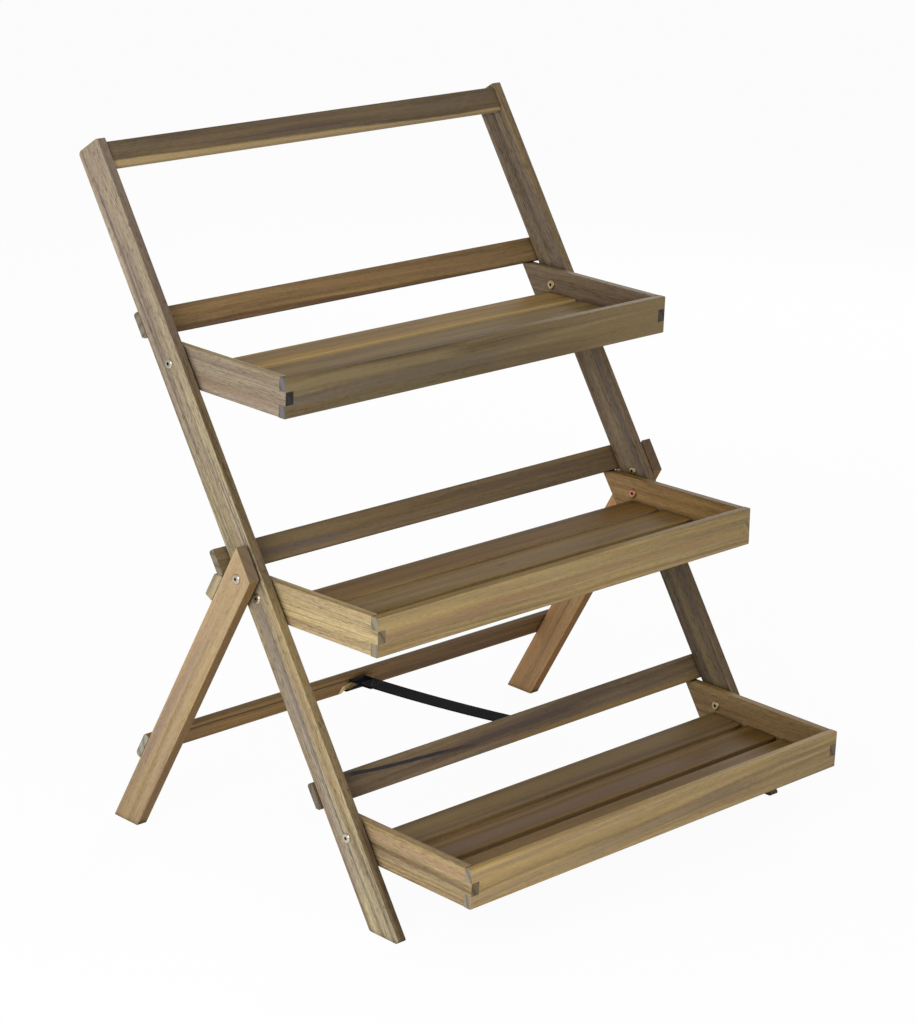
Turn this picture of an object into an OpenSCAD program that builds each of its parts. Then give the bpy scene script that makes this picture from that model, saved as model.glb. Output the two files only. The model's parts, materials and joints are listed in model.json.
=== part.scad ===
// Folding plant ladder stand: a leaning front frame with three tip-up trays, a rear frame that
// swings shut against it, and a webbing strap that ties the two together.
// Millimetres, +Z up, front towards -Y. Origin on the floor, under the middle of the open stand.

/* [Front frame] */
// Width across the outsides of the two rails
frame_w = 680; // [500:1:900]
// Rail length along its rear edge, foot to top
rail_l = 986; // [960:1:1100]
// Rail width, seen from the side
rail_w = 43; // [36:0.5:50]
// Rail thickness
rail_t = 13; // [11:0.5:18]
// Lean of the rails back from upright, in degrees
lean = 33.5; // [31:0.5:36]
// Radius of the rails' rear corners
rail_corner_r = 7; // [3:0.5:12]
// Radius of the rails' front corners
rail_front_r = 2.5; // [1:0.5:6]

/* [Crossbars] */
// Height of each flat bar
bar_h = 33; // [26:0.5:40]
// Thickness of each flat bar
bar_t = 9; // [7:0.5:12]
// From a tray bolt up to the underside of its crossbar, along the rail
bar_above_bolt = 42.3; // [40:0.1:48]
// The middle crossbar sits this much lower, which tips the front of its tray up a little
middle_bar_lower = 1.55; // [0:0.05:2.5]
// Depth of the sawn-off lower rear edge that the trays and stop blocks bear on
bearing_depth = 3; // [2:0.1:4]
// How far the bottom crossbar stands out past each rail
bottom_bar_over = 3; // [0:0.1:3.1]

/* [Handle] */
// Height of the handle bar along the rails
handle_h = 33; // [28:0.5:38]
// Thickness of the handle bar
handle_d = 10; // [8:0.5:14]
// From the rails' front edges back to the face of the handle bar
handle_set = 3.7; // [2:0.1:6]
// From the rail tops down to the handle bar
handle_drop = 4.4; // [3:0.1:12]

/* [Rear frame] */
// Leg width, seen from the side
leg_w = 40.4; // [34:0.1:42]
// Leg thickness
leg_t = 15; // [12:0.5:20]
// Angle of the legs from upright, in degrees
leg_angle = 28.5; // [26:0.5:31]
// Gap between a leg's rear edge and the corner of the middle crossbar
corner_gap = 0.4; // [0.3:0.1:3]
// Gap between leg and rail, filled by the spacer
leg_gap = 3.5; // [3:0.1:6]
// From the leg pivot down the leg to the top of the rear bar
rear_bar_down = 296.5; // [290:0.5:305]
// Height of the rear bar
rear_bar_h = 36; // [34:0.5:40]
// Length of the stop blocks
block_l = 40; // [25:1:60]
// Thickness of the stop blocks
block_t = 12.7; // [8:0.1:14]

/* [Trays] */
// Height of the lowest tray bolt up the rail
tray_first = 108.5; // [105:0.5:120]
// Spacing of the trays up the rail
tray_pitch = 298; // [290:1:310]
// Height of the tray boards
tray_h = 48; // [42:0.5:56]
// From the bolt to the front of a tray
tray_reach = 190; // [150:1:210]
// Thickness of the side panels
side_t = 12; // [9:0.5:15]
// Thickness of the front board
front_t = 11.5; // [9:0.5:15]
// Gap between side panel and rail, filled by the spacer
tray_gap = 2.75; // [2.5:0.05:4]
// How far the side panels reach behind the rails
tray_overhang = 14; // [12:0.5:18]

/* [Tray floor] */
// Gap between slats
slat_gap = 8.5; // [4:0.5:12]
// Gap between the front slat and the front board
floor_gap = 17.5; // [4:0.5:24]
// Thickness of the slats
slat_t = 9; // [6:0.5:12]
// Top of the slats above the lower edge of the side panel
slat_top = 16.5; // [14:0.5:22]
// Rear edge of the floor behind the bolt
slat_rear = 4.5; // [0:0.5:10]
// Width of the cleats under the slats
cleat_w = 14; // [10:0.5:20]

/* [Pivot hardware] */
// Diameter of the bolt and nut heads
head_d = 12; // [9:0.5:14]
// Thickness of the heads
head_t = 2; // [1.4:0.1:2.2]
// Diameter of the bolt shanks
shank_d = 6; // [5:0.5:6]
// Diameter of the nut sleeves
sleeve_d = 8; // [7.5:0.1:9]
// Width across the flats of the hex sockets
socket_af = 4; // [3:0.5:4]
// Diameter of the spacers
spacer_d = 16; // [12:0.5:20]

/* [Strap] */
// Width of the webbing
strap_w = 30; // [25:1:32]
// Thickness of the webbing
strap_t = 1.5; // [1.2:0.1:2]
// Width of the recess for it in the rear bar
recess_w = 45; // [45:1:60]
// How far each end of the recess slopes in from the face of the bar
recess_slope = 6; // [3:0.5:6]
// Depth of that recess
recess_d = 2.4; // [2.2:0.1:3.2]
// Height of the slot that the strap goes through
slot_h = 9.5; // [8:0.5:11]
// From the top of the rear bar down to the lower face of the slot
slot_down = 20; // [18:0.5:22]
// Seam where the loop round the rear bar is sewn to the strap
seam_l = 24; // [15:1:40]
// How far in front of the rear bar the loop closes
loop_l = 13; // [10:1:40]

/* [Edges] */
// Rounding of the long edges of the boards
arris = 1.5; // [0.5:0.1:2.5]

/* [Hidden] */
$fn = 48;

rail_colour = [0.60, 0.53, 0.43];
bar_colour = [0.45, 0.38, 0.29];
leg_colour = [0.66, 0.54, 0.42];
side_colour = [0.58, 0.49, 0.35];
front_colour = [0.55, 0.48, 0.34];
slat_colour = [0.44, 0.36, 0.27];
cleat_colour = [0.50, 0.42, 0.31];
steel_colour = [0.80, 0.78, 0.72];
brass_colour = [0.84, 0.72, 0.48];
web_colour = [0.04, 0.04, 0.045];

// Running clearance on the pivots, radius.
play = 0.08;
// Clearance of parts that are screwed or glued together, radius.
slip = 0.04;
// Left between slanted faces that bear on each other.
hair = 0.03;

// Points on the rail: s up its rear edge, n forward of that edge, as [y, z] before centring.
function rail_yz(s, n) = [s * sin(lean) - n * cos(lean), s * cos(lean) + n * sin(lean)];

// Trays count from the bottom: 0, 1, 2.
BOTTOM = 0;
MIDDLE = 1;
TOP = 2;
function bolt_s(i) = tray_first + i * tray_pitch;
function bar_above(i) = bar_above_bolt - (i == MIDDLE ? middle_bar_lower : 0);
function bar_s(i) = bolt_s(i) + bar_above(i);
bolt_n = rail_w / 2;

// The stand is centred front to back on its open depth, bottom tray front to rail top.
y_front = rail_yz(bolt_s(BOTTOM), bolt_n)[0] - tray_reach;
y_rear = rail_l * sin(lean) - rail_corner_r * (sin(lean) + cos(lean) - 1);
y_mid = (y_front + y_rear) / 2;

rail_x = frame_w / 2;
rail_in = rail_x - rail_t;
leg_in = rail_x + leg_gap;
leg_x = leg_in + leg_t;
leg_half = leg_w / 2;
apex = lean + leg_angle;
pivot_n = rail_w / 2;
pivot_s = bar_s(MIDDLE) - (leg_half + corner_gap - pivot_n * cos(apex)) / sin(apex);
pivot_yz = rail_yz(pivot_s, pivot_n);

// Side panels: heights of their edges from the bolt. The top edge meets the sawn-off edge of the
// crossbar above it, which is level on the top and bottom crossbars.
side_top = (bar_above_bolt + bearing_depth) * cos(lean) - (bolt_n + bar_t) * sin(lean);

// A tray rests with its top edges on its crossbar's bearing edge. bearing(i) is the angle between
// them and the rails' square, and tilt(i) how far the tray's front stands above level.
function bearing(i) =
    let(s = bar_above(i) + bearing_depth, back = bolt_n + bar_t)
    acos(side_top / norm([s, back])) - atan2(back, s);
function tilt(i) = lean - bearing(i);
side_bottom = side_top - tray_h;
tray_x = rail_in - tray_gap;
tray_in = tray_x - side_t;
finger = tray_h / 3;
cleat_h = slat_top - slat_t;
slat_w = (tray_reach - front_t + slat_rear - floor_gap - 2 * slat_gap) / 3;
function side_rear(z) = (bolt_n + tray_overhang + z * sin(lean)) / cos(lean);

// Stop blocks bear on the middle crossbar, in the same plane as the middle tray: its distance
// from the leg pivot, and its height on the leg at y behind the leg's centre line.
stop_tilt = tilt(MIDDLE);
stop_top = side_top - hair;
stop_d = stop_top - (pivot_yz - rail_yz(bolt_s(MIDDLE), bolt_n)) * [sin(stop_tilt), cos(stop_tilt)];
function leg_stop(y) = (stop_d - y * sin(leg_angle + stop_tilt)) / cos(leg_angle + stop_tilt);

// ---- frames of reference ----

// x, behind the rail's rear edge, up the rail
module on_rail() {
    translate([0, -y_mid, 0])
        rotate([-lean, 0, 0])
            children();
}

// x, behind the leg's centre line, up the leg from its pivot
module on_leg() {
    translate([0, pivot_yz[0] - y_mid, pivot_yz[1]])
        rotate([leg_angle, 0, 0])
            children();
}

// x, behind the bolt, above the bolt
module on_tray(i) {
    translate([0, rail_yz(bolt_s(i), bolt_n)[0] - y_mid, rail_yz(bolt_s(i), bolt_n)[1]])
        rotate([-tilt(i), 0, 0])
            children();
}

// Runs its children on one side: -1 is the left, +1 the right. They are drawn on the right.
module on_side(side) {
    mirror([side < 0 ? 1 : 0, 0, 0])
        children();
}

// ---- shapes ----

// Unit vector from a to b, and a corner's inset distance, centre and tangent points.
function dir(a, b) = (b - a) / norm(b - a);
function pull(a, p, b, r) =
    let(u = dir(p, a), v = dir(p, b), half = acos(u * v) / 2)
    r / tan(half);
function centre(a, p, b, r) =
    let(u = dir(p, a), v = dir(p, b), half = acos(u * v) / 2)
    p + (u + v) / norm(u + v) * r / sin(half);

// Convex outline with each corner rounded to its own radius.
module soft(pts, radii) {
    n = len(pts);
    polygon([
        for (i = [0:n - 1])
            let(a = pts[(i + n - 1) % n], p = pts[i], b = pts[(i + 1) % n], r = radii[i])
            each [p + dir(p, a) * pull(a, p, b, r), p + dir(p, b) * pull(a, p, b, r)]
    ]);
    for (i = [0:n - 1])
        let(a = pts[(i + n - 1) % n], p = pts[i], b = pts[(i + 1) % n])
            translate(centre(a, p, b, radii[i]))
                circle(r = radii[i]);
}

// A soft outline in the y-z plane, run from x0 to x1.
module slab(x0, x1, pts, radii) {
    translate([x0, 0, 0])
        rotate([90, 0, 90])
            linear_extrude(x1 - x0)
                soft(pts, radii);
}

// Rectangle corners, counter-clockwise.
function rect(x0, x1, y0, y1) = [[x0, y0], [x1, y0], [x1, y1], [x0, y1]];

// A board that runs up z, with eased long edges.
module upright(x0, x1, y0, y1, z0, z1) {
    translate([0, 0, z0])
        linear_extrude(z1 - z0)
            soft(rect(x0, x1, y0, y1), [arris, arris, arris, arris]);
}

// A board that runs along x, with its four long edges rounded: radii from the lower front edge,
// lower rear, upper rear, upper front.
module level(x0, x1, y0, y1, z0, z1, radii) {
    slab(x0, x1, rect(y0, y1, z0, z1), radii);
}

// A plain block.
module block(x0, x1, y0, y1, z0, z1) {
    translate([x0, y0, z0])
        cube([x1 - x0, y1 - y0, z1 - z0]);
}

// A cylinder along x.
module rod(x0, x1, r) {
    translate([x0, 0, 0])
        rotate([0, 90, 0])
            cylinder(h = x1 - x0, r = r);
}

// ---- hardware ----

// Low round head with an eased rim; its seat is at x = 0 and it stands out to +x.
module head() {
    rotate([0, 90, 0])
        rotate_extrude()
            polygon([
                [0, 0], [head_d / 2, 0], [head_d / 2, head_t * 0.45],
                [head_d / 2 - head_t * 0.3, head_t * 0.85], [head_d / 2 - head_t * 0.8, head_t],
                [0, head_t]
            ]);
}

// Hex socket sunk from the top of a head.
module socket() {
    translate([head_t - 2.6, 0, 0])
        rotate([0, 90, 0])
            cylinder(h = 3, d = socket_af / cos(30), $fn = 6);
}

// Bolt with its head seated at x; the shank runs inwards.
module bolt(x, shank) {
    translate([x, 0, 0])
        difference() {
            union() {
                head();
                rod(-shank, 0.01, shank_d / 2);
            }
            socket();
        }
}

// Sleeve nut with its head seated at x, facing inwards; the sleeve runs out over the bolt.
module sleeve_nut(x, sleeve, bore) {
    translate([x, 0, 0])
        mirror([1, 0, 0])
            difference() {
                union() {
                    head();
                    rod(-sleeve, 0.01, sleeve_d / 2);
                }
                socket();
                rod(-sleeve - 1, -sleeve + bore, shank_d / 2 + slip);
            }
}

// Spacer ring between two boards.
module spacer(x0, x1) {
    difference() {
        rod(x0, x1, spacer_d / 2);
        rod(x0 - 1, x1 + 1, sleeve_d / 2 + slip);
    }
}

// Countersunk wood screw along -z, its head flush with z = 0, with a cross recess.
module screw(l, head_r) {
    difference() {
        union() {
            translate([0, 0, -head_r * 0.9])
                cylinder(h = head_r * 0.9, r1 = head_r * 0.45, r2 = head_r);
            translate([0, 0, 1 - l])
                cylinder(h = l - 1, r = head_r * 0.45);
            translate([0, 0, -l])
                cylinder(h = 1, r1 = head_r * 0.15, r2 = head_r * 0.45);
        }
        for (turn = [0, 90])
            rotate([0, 0, turn])
                translate([-head_r * 0.55, -head_r * 0.12, -1])
                    cube([head_r * 1.1, head_r * 0.24, 2]);
    }
}

// The same shape, a little larger, to cut the hole it fills.
module screw_hole(l, head_r) {
    translate([0, 0, -head_r * 0.9])
        cylinder(h = head_r * 0.9, r1 = head_r * 0.45 + slip, r2 = head_r + slip);
    translate([0, 0, -l - 0.5])
        cylinder(h = l + 0.5, r = head_r * 0.45 + slip);
    cylinder(h = 5, r = head_r + slip);
}

// ---- front frame ----

frame_screw_l = 32;
frame_screw_r = 3.6;
tenon_l = 8;
tenon_h = handle_h * 0.5;
tenon_d = handle_d * 0.4;
handle_s = rail_l - handle_drop - handle_h;
handle_y = handle_set - rail_w;

// Screw places at the right-hand end of a crossbar: two, one above the other.
module at_frame_screws(i) {
    for (up = [0.28, 0.76])
        on_rail()
            translate([rail_x - rail_t / 2, bar_t, bar_s(i) + bar_h * up])
                rotate([-90, 0, 0])
                    children();
}

module tenon() {
    block(rail_in - 0.01, rail_in + tenon_l, handle_y + (handle_d - tenon_d) / 2,
          handle_y + (handle_d + tenon_d) / 2, handle_s + (handle_h - tenon_h) / 2,
          handle_s + (handle_h + tenon_h) / 2);
}

// Drawn as the right-hand rail.
module rail(side) {
    foot = -rail_w * tan(lean);
    color(rail_colour)
        on_side(side)
            difference() {
                on_rail()
                    difference() {
                        intersection() {
                            slab(rail_in, rail_x,
                                 [[-rail_w, foot], [0, 0], [0, rail_l], [-rail_w, rail_l]],
                                 [rail_front_r + 1, rail_corner_r + 1, rail_corner_r, rail_front_r]);
                            upright(rail_in, rail_x, -rail_w, 0, foot - 1, rail_l + 1);
                        }
                        for (s = [bolt_s(BOTTOM), bolt_s(MIDDLE), bolt_s(TOP), pivot_s])
                            translate([0, -rail_w / 2, s])
                                rod(rail_in - 1, rail_x + 1, sleeve_d / 2 + slip);
                        tenon();
                    }
                for (i = [BOTTOM:TOP])
                    at_frame_screws(i)
                        screw_hole(frame_screw_l, frame_screw_r);
            }
}

module handle_bar() {
    color(bar_colour)
        on_rail() {
            level(-rail_in, rail_in, handle_y, handle_y + handle_d, handle_s, handle_s + handle_h,
                  [2.5, 2, 2.5, 1.5]);
            for (side = [-1, 1])
                on_side(side)
                    tenon();
        }
}

// Flat bar on the rails' rear edges; its lower rear edge is sawn off level.
module crossbar(i, half) {
    run = bearing_depth / tan(bearing(i));
    s = bar_s(i);
    color(bar_colour)
        difference() {
            on_rail()
                slab(-half, half,
                     [[0, s], [bar_t - run, s], [bar_t, s + bearing_depth], [bar_t, s + bar_h],
                      [0, s + bar_h]],
                     [0.8, 0.8, 0.8, 3.5, 1]);
            for (side = [-1, 1])
                on_side(side)
                    at_frame_screws(i)
                        screw_hole(frame_screw_l, frame_screw_r);
            if (i == BOTTOM)
                at_strap_screw()
                    screw_hole(strap_screw_l, strap_screw_r);
        }
}

module crossbar_screws() {
    color(steel_colour)
        for (i = [BOTTOM:TOP])
            for (side = [-1, 1])
                on_side(side)
                    at_frame_screws(i)
                        screw(frame_screw_l, frame_screw_r);
}

// Places of the six tray pivots.
module at_tray_pivots() {
    for (i = [BOTTOM:TOP])
        for (side = [-1, 1])
            on_tray(i)
                on_side(side)
                    children();
}

module tray_bolts() {
    color(steel_colour)
        at_tray_pivots()
            bolt(rail_x, rail_t + tray_gap + 6);
}

module tray_nuts() {
    color(brass_colour)
        at_tray_pivots()
            sleeve_nut(tray_in, rail_t + tray_gap + side_t - 2, rail_t + tray_gap + 4.5);
}

module tray_spacers() {
    color(steel_colour)
        at_tray_pivots()
            spacer(tray_x, rail_in);
}

// Places of the two leg pivots.
module at_leg_pivots() {
    for (side = [-1, 1])
        on_leg()
            on_side(side)
                children();
}

module leg_bolts() {
    color(steel_colour)
        at_leg_pivots()
            bolt(leg_x, leg_t + leg_gap + 6);
}

module leg_nuts() {
    color(brass_colour)
        at_leg_pivots()
            sleeve_nut(rail_in, leg_t + leg_gap + rail_t - 2, leg_t + leg_gap + 4.5);
}

module leg_spacers() {
    color(steel_colour)
        at_leg_pivots()
            spacer(rail_x, leg_in);
}

// ---- rear frame ----

rear_screw_l = 30;
rear_screw_r = 3.6;
block_screw_l = 30;
block_screw_r = 3.2;

// Height on the leg of the floor and of the rail's front edge.
function leg_floor(y) = -(pivot_yz[1] + y * sin(leg_angle)) / cos(leg_angle);
function leg_crown(y) = (rail_w - 1 - pivot_n + y * cos(apex)) / sin(apex);

module at_rear_screws() {
    for (up = [0.28, 0.76])
        on_leg()
            translate([leg_x - leg_t / 2, leg_half + bar_t, -rear_bar_down - rear_bar_h * (1 - up)])
                rotate([-90, 0, 0])
                    children();
}

module at_block_screws() {
    top = leg_stop(leg_half + block_t);
    bottom = leg_stop(leg_half) - block_l;
    for (up = [0.3, 0.75])
        on_leg()
            translate([leg_x - leg_t / 2, leg_half + block_t, bottom + (top - bottom) * up])
                rotate([-90, 0, 0])
                    children();
}

module leg(side) {
    color(leg_colour)
        on_side(side)
            difference() {
                on_leg()
                    difference() {
                        intersection() {
                            slab(leg_in, leg_x,
                                 [[-leg_half, leg_floor(-leg_half)], [leg_half, leg_floor(leg_half)],
                                  [leg_half, leg_crown(leg_half)], [-leg_half, leg_crown(-leg_half)]],
                                 [1.5, 1.5, 1.2, 1.2]);
                            upright(leg_in, leg_x, -leg_half, leg_half, leg_floor(leg_half) - 1,
                                    leg_crown(leg_half) + 1);
                        }
                        rod(leg_in - 1, leg_x + 1, sleeve_d / 2 + play);
                    }
                at_rear_screws()
                    screw_hole(rear_screw_l, rear_screw_r);
                at_block_screws()
                    screw_hole(block_screw_l, block_screw_r);
            }
}

// Slot for the strap through the rear bar: its lower face on the leg, and its height.
slot_z = -rear_bar_down - slot_down;
bar_front = leg_half + recess_d;
bar_back = leg_half + bar_t - recess_d;
bar_low = -rear_bar_down - rear_bar_h + recess_d;

module rear_bar() {
    y0 = leg_half;
    y1 = leg_half + bar_t;
    z0 = -rear_bar_down - rear_bar_h;
    half = recess_w / 2 - recess_slope;
    color(bar_colour)
        difference() {
            on_leg()
                difference() {
                    level(-leg_x, leg_x, y0, y1, z0, z0 + rear_bar_h, [1, 4.5, 3.5, 1]);
                    translate([0, 0, z0 - 1])
                        linear_extrude(slot_z + slot_h + 3.5 - z0)
                            polygon([
                                [-recess_w / 2, y0 - 1], [recess_w / 2, y0 - 1],
                                [recess_w / 2, y0], [half, bar_front],
                                [-half, bar_front], [-recess_w / 2, y0]
                            ]);
                    block(-half, half, y0, y1 + 1, slot_z, slot_z + slot_h);
                    block(-half, half, y0 - 1, y1 + 1, z0 - 1, bar_low);
                    block(-half, half, bar_back, y1 + 1, z0 - 1, slot_z + 1);
                }
            for (side = [-1, 1])
                on_side(side)
                    at_rear_screws()
                        screw_hole(rear_screw_l, rear_screw_r);
        }
}

module rear_bar_screws() {
    color(steel_colour)
        for (side = [-1, 1])
            on_side(side)
                at_rear_screws()
                    screw(rear_screw_l, rear_screw_r);
}

// Sawn at a slant on top, where it bears on the crossbar, and square below.
module stop_block(side) {
    bottom = leg_stop(leg_half) - block_l;
    color(leg_colour)
        on_side(side)
            difference() {
                on_leg()
                    slab(leg_in, leg_x,
                         [[leg_half, bottom], [leg_half + block_t, bottom],
                          [leg_half + block_t, leg_stop(leg_half + block_t)],
                          [leg_half, leg_stop(leg_half)]],
                         [0.6, 1.5, 1, 0.6]);
                at_block_screws()
                    screw_hole(block_screw_l, block_screw_r);
            }
}

module stop_block_screws() {
    color(steel_colour)
        for (side = [-1, 1])
            on_side(side)
                at_block_screws()
                    screw(block_screw_l, block_screw_r);
}

// ---- trays ----

slat_screw_l = 14;
slat_screw_r = 2.6;

// Front edge of slat k, counted from the rear.
function slat_y(k) = slat_rear - k * (slat_w + slat_gap) - slat_w;

// Side panel: rear end cut to the lean of the rails, front end cut for the finger joint.
module tray_side(i, side) {
    top = side_top;
    bottom = side_bottom;
    color(side_colour)
        on_tray(i)
            on_side(side)
                difference() {
                    intersection() {
                        slab(tray_in, tray_x,
                             [[-tray_reach, bottom], [side_rear(bottom), bottom],
                              [side_rear(top), top], [-tray_reach, top]],
                             [0.3, 2, 2, 0.3]);
                        translate([0, side_rear(top) + 1, 0])
                            rotate([90, 0, 0])
                                linear_extrude(side_rear(top) + tray_reach + 2)
                                    soft(rect(tray_in, tray_x, bottom, top),
                                         [arris, arris, arris, arris]);
                    }
                    rod(tray_in - 1, tray_x + 1, sleeve_d / 2 + play);
                    for (z = [bottom - 1, top - finger])
                        block(tray_in - 1, tray_x + 1, -tray_reach - 1, -tray_reach + front_t,
                              z, z + finger + 1);
                }
}

// Front board: its middle thirds are cut out at both ends for the side panels' fingers.
module tray_front(i) {
    color(front_colour)
        on_tray(i)
            difference() {
                level(-tray_x, tray_x, -tray_reach, -tray_reach + front_t, side_bottom, side_top,
                      [arris, 0.8, arris, arris]);
                for (side = [-1, 1])
                    on_side(side)
                        block(tray_in, tray_x + 1, -tray_reach - 1, -tray_reach + front_t + 1,
                              side_bottom + finger, side_top - finger);
            }
}

module at_slat_screws(k) {
    for (side = [-1, 1])
        on_side(side)
            translate([tray_in - cleat_w / 2, slat_y(k) + slat_w / 2, side_bottom])
                rotate([180, 0, 0])
                    children();
}

module slat(i, k) {
    top = side_bottom + slat_top;
    color(slat_colour)
        on_tray(i)
            difference() {
                level(0.4 - tray_in, tray_in - 0.4, slat_y(k), slat_y(k) + slat_w, top - slat_t, top,
                      [arris, arris, arris, arris]);
                at_slat_screws(k)
                    screw_hole(slat_screw_l, slat_screw_r);
            }
}

module cleat(i, side) {
    color(cleat_colour)
        on_tray(i)
            difference() {
                on_side(side)
                    block(tray_in - cleat_w, tray_in, -tray_reach + front_t, slat_rear,
                          side_bottom, side_bottom + cleat_h);
                for (k = [0:2])
                    at_slat_screws(k)
                        screw_hole(slat_screw_l, slat_screw_r);
            }
}

module slat_screws(i) {
    color(steel_colour)
        on_tray(i)
            for (k = [0:2])
                at_slat_screws(k)
                    screw(slat_screw_l, slat_screw_r);
}

// ---- strap ----

strap_screw_l = 9.5;
strap_screw_r = 3.4;
// The strap ends down the rear face of the bottom crossbar.
strap_top_s = bar_s(BOTTOM) + bar_h - 9;
strap_end_s = bar_s(BOTTOM) + 6;
strap_screw_s = (strap_top_s + strap_end_s) / 2 - 2;

// The webbing stands off the wood it is fixed to by a small clearance.
web_gap = 0.15;
web_face = bar_t + web_gap + strap_t + hair;
washer_t = 0.9;

// Screw on the crossbar's rear face, outside the webbing and its washer.
module at_strap_screw() {
    on_rail()
        translate([0, web_face + washer_t, strap_screw_s])
            rotate([-90, 0, 0])
                children();
}

// Points on the rear bar as [y, z] of the stand.
function leg_yz(y, z) = [
    pivot_yz[0] - y_mid + y * cos(leg_angle) - z * sin(leg_angle),
    pivot_yz[1] + y * sin(leg_angle) + z * cos(leg_angle)
];
function bar_yz(y, s) = rail_yz(s, -y) - [y_mid, 0];

// Centre line of the webbing: up the crossbar, back to the slot, down behind the rear bar, under
// it, and forwards to the seam.
off = strap_t / 2 + web_gap;
bend = off + 0.3;
span_from = bar_yz(bar_t + off + 2.2, strap_top_s + 1.8);
span_to = leg_yz(bar_back + 0.3, slot_z + bend);
span_l = norm(span_to - span_from);
sag = 1.2;
function along(t) = span_from + (span_to - span_from) * t - [0, 4 * sag * t * (1 - t)];
loop_t = 1 - (loop_l + bar_t) / span_l;
seam_t = loop_t - seam_l / span_l;
steps = 16;
route = concat(
    [bar_yz(bar_t + off, strap_end_s), bar_yz(bar_t + off, strap_top_s)],
    [for (k = [0:steps]) along(k / steps)],
    [leg_yz(bar_back + bend, slot_z + 0.3), leg_yz(bar_back + bend, bar_low - 0.3),
     leg_yz(bar_back + 0.3, bar_low - bend), leg_yz(bar_front - 0.3, bar_low - bend),
     leg_yz(bar_front - bend - 1.5, bar_low + 0.6)],
    [for (k = [0:2]) along(loop_t + (seam_t - loop_t) * k / 2) - [0, strap_t * 1.06]]
);

// Webbing round one stretch of its centre line.
module stretch(a, b) {
    u = dir(a, b);
    side = [-u[1], u[0]] * strap_t / 2;
    polygon([a - side, b - side, b + side, a + side]);
}

module strap() {
    color(web_colour)
        difference() {
            translate([-strap_w / 2, 0, 0])
                rotate([90, 0, 90])
                    linear_extrude(strap_w) {
                        for (k = [0:len(route) - 2])
                            stretch(route[k], route[k + 1]);
                        for (k = [1:len(route) - 2])
                            translate(route[k])
                                circle(d = strap_t, $fn = 12);
                    }
            at_strap_screw()
                screw_hole(strap_screw_l, strap_screw_r);
        }
}

module strap_screw() {
    color(steel_colour)
        at_strap_screw()
            screw(strap_screw_l, strap_screw_r);
}

module strap_washer() {
    color(steel_colour)
        difference() {
            on_rail()
                translate([0, web_face, strap_screw_s])
                    rotate([-90, 0, 0])
                        cylinder(h = washer_t, r = 7);
            at_strap_screw()
                screw_hole(strap_screw_l, strap_screw_r);
        }
}

// ---- nodes ----

rail(-1);  // rail_left
rail(1);  // rail_right
handle_bar();
crossbar(TOP, rail_x);  // crossbar_top
crossbar(MIDDLE, leg_x);  // crossbar_middle
crossbar(BOTTOM, rail_x + bottom_bar_over);  // crossbar_bottom
crossbar_screws();
tray_bolts();
tray_nuts();
tray_spacers();
leg_bolts();
leg_nuts();
leg_spacers();
leg(-1);  // leg_left
leg(1);  // leg_right
rear_bar();
stop_block(-1);  // stop_block_left
stop_block(1);  // stop_block_right
rear_bar_screws();
stop_block_screws();
tray_side(TOP, -1);  // tray_top_side_left
tray_side(TOP, 1);  // tray_top_side_right
tray_front(TOP);  // tray_top_front
slat(TOP, 0);  // tray_top_slat_rear
slat(TOP, 1);  // tray_top_slat_middle
slat(TOP, 2);  // tray_top_slat_front
cleat(TOP, -1);  // tray_top_cleat_left
cleat(TOP, 1);  // tray_top_cleat_right
slat_screws(TOP);  // tray_top_slat_screws
tray_side(MIDDLE, -1);  // tray_middle_side_left
tray_side(MIDDLE, 1);  // tray_middle_side_right
tray_front(MIDDLE);  // tray_middle_front
slat(MIDDLE, 0);  // tray_middle_slat_rear
slat(MIDDLE, 1);  // tray_middle_slat_middle
slat(MIDDLE, 2);  // tray_middle_slat_front
cleat(MIDDLE, -1);  // tray_middle_cleat_left
cleat(MIDDLE, 1);  // tray_middle_cleat_right
slat_screws(MIDDLE);  // tray_middle_slat_screws
tray_side(BOTTOM, -1);  // tray_bottom_side_left
tray_side(BOTTOM, 1);  // tray_bottom_side_right
tray_front(BOTTOM);  // tray_bottom_front
slat(BOTTOM, 0);  // tray_bottom_slat_rear
slat(BOTTOM, 1);  // tray_bottom_slat_middle
slat(BOTTOM, 2);  // tray_bottom_slat_front
cleat(BOTTOM, -1);  // tray_bottom_cleat_left
cleat(BOTTOM, 1);  // tray_bottom_cleat_right
slat_screws(BOTTOM);  // tray_bottom_slat_screws
strap();
strap_screw();
strap_washer();
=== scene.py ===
"""Folding ladder stand for plants: woods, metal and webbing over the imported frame."""

import json
import logging
import math
from dataclasses import dataclass
from enum import Enum
from typing import Any

import bmesh
import bpy
from mathutils import Matrix, Vector


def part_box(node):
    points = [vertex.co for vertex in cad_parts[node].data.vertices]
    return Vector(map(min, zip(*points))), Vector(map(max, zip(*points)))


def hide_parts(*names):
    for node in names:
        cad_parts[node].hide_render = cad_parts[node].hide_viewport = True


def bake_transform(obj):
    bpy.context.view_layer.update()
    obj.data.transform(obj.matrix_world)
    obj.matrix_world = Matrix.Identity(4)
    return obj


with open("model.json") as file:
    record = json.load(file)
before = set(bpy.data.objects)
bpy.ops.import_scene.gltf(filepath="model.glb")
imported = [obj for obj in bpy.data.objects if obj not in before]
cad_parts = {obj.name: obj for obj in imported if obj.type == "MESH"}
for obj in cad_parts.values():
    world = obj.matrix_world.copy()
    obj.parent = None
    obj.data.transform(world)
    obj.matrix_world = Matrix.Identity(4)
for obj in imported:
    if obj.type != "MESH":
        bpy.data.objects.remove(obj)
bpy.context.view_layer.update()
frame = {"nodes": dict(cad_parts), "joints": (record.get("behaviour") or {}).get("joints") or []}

LOG = logging.getLogger("ladder_stand")

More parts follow.
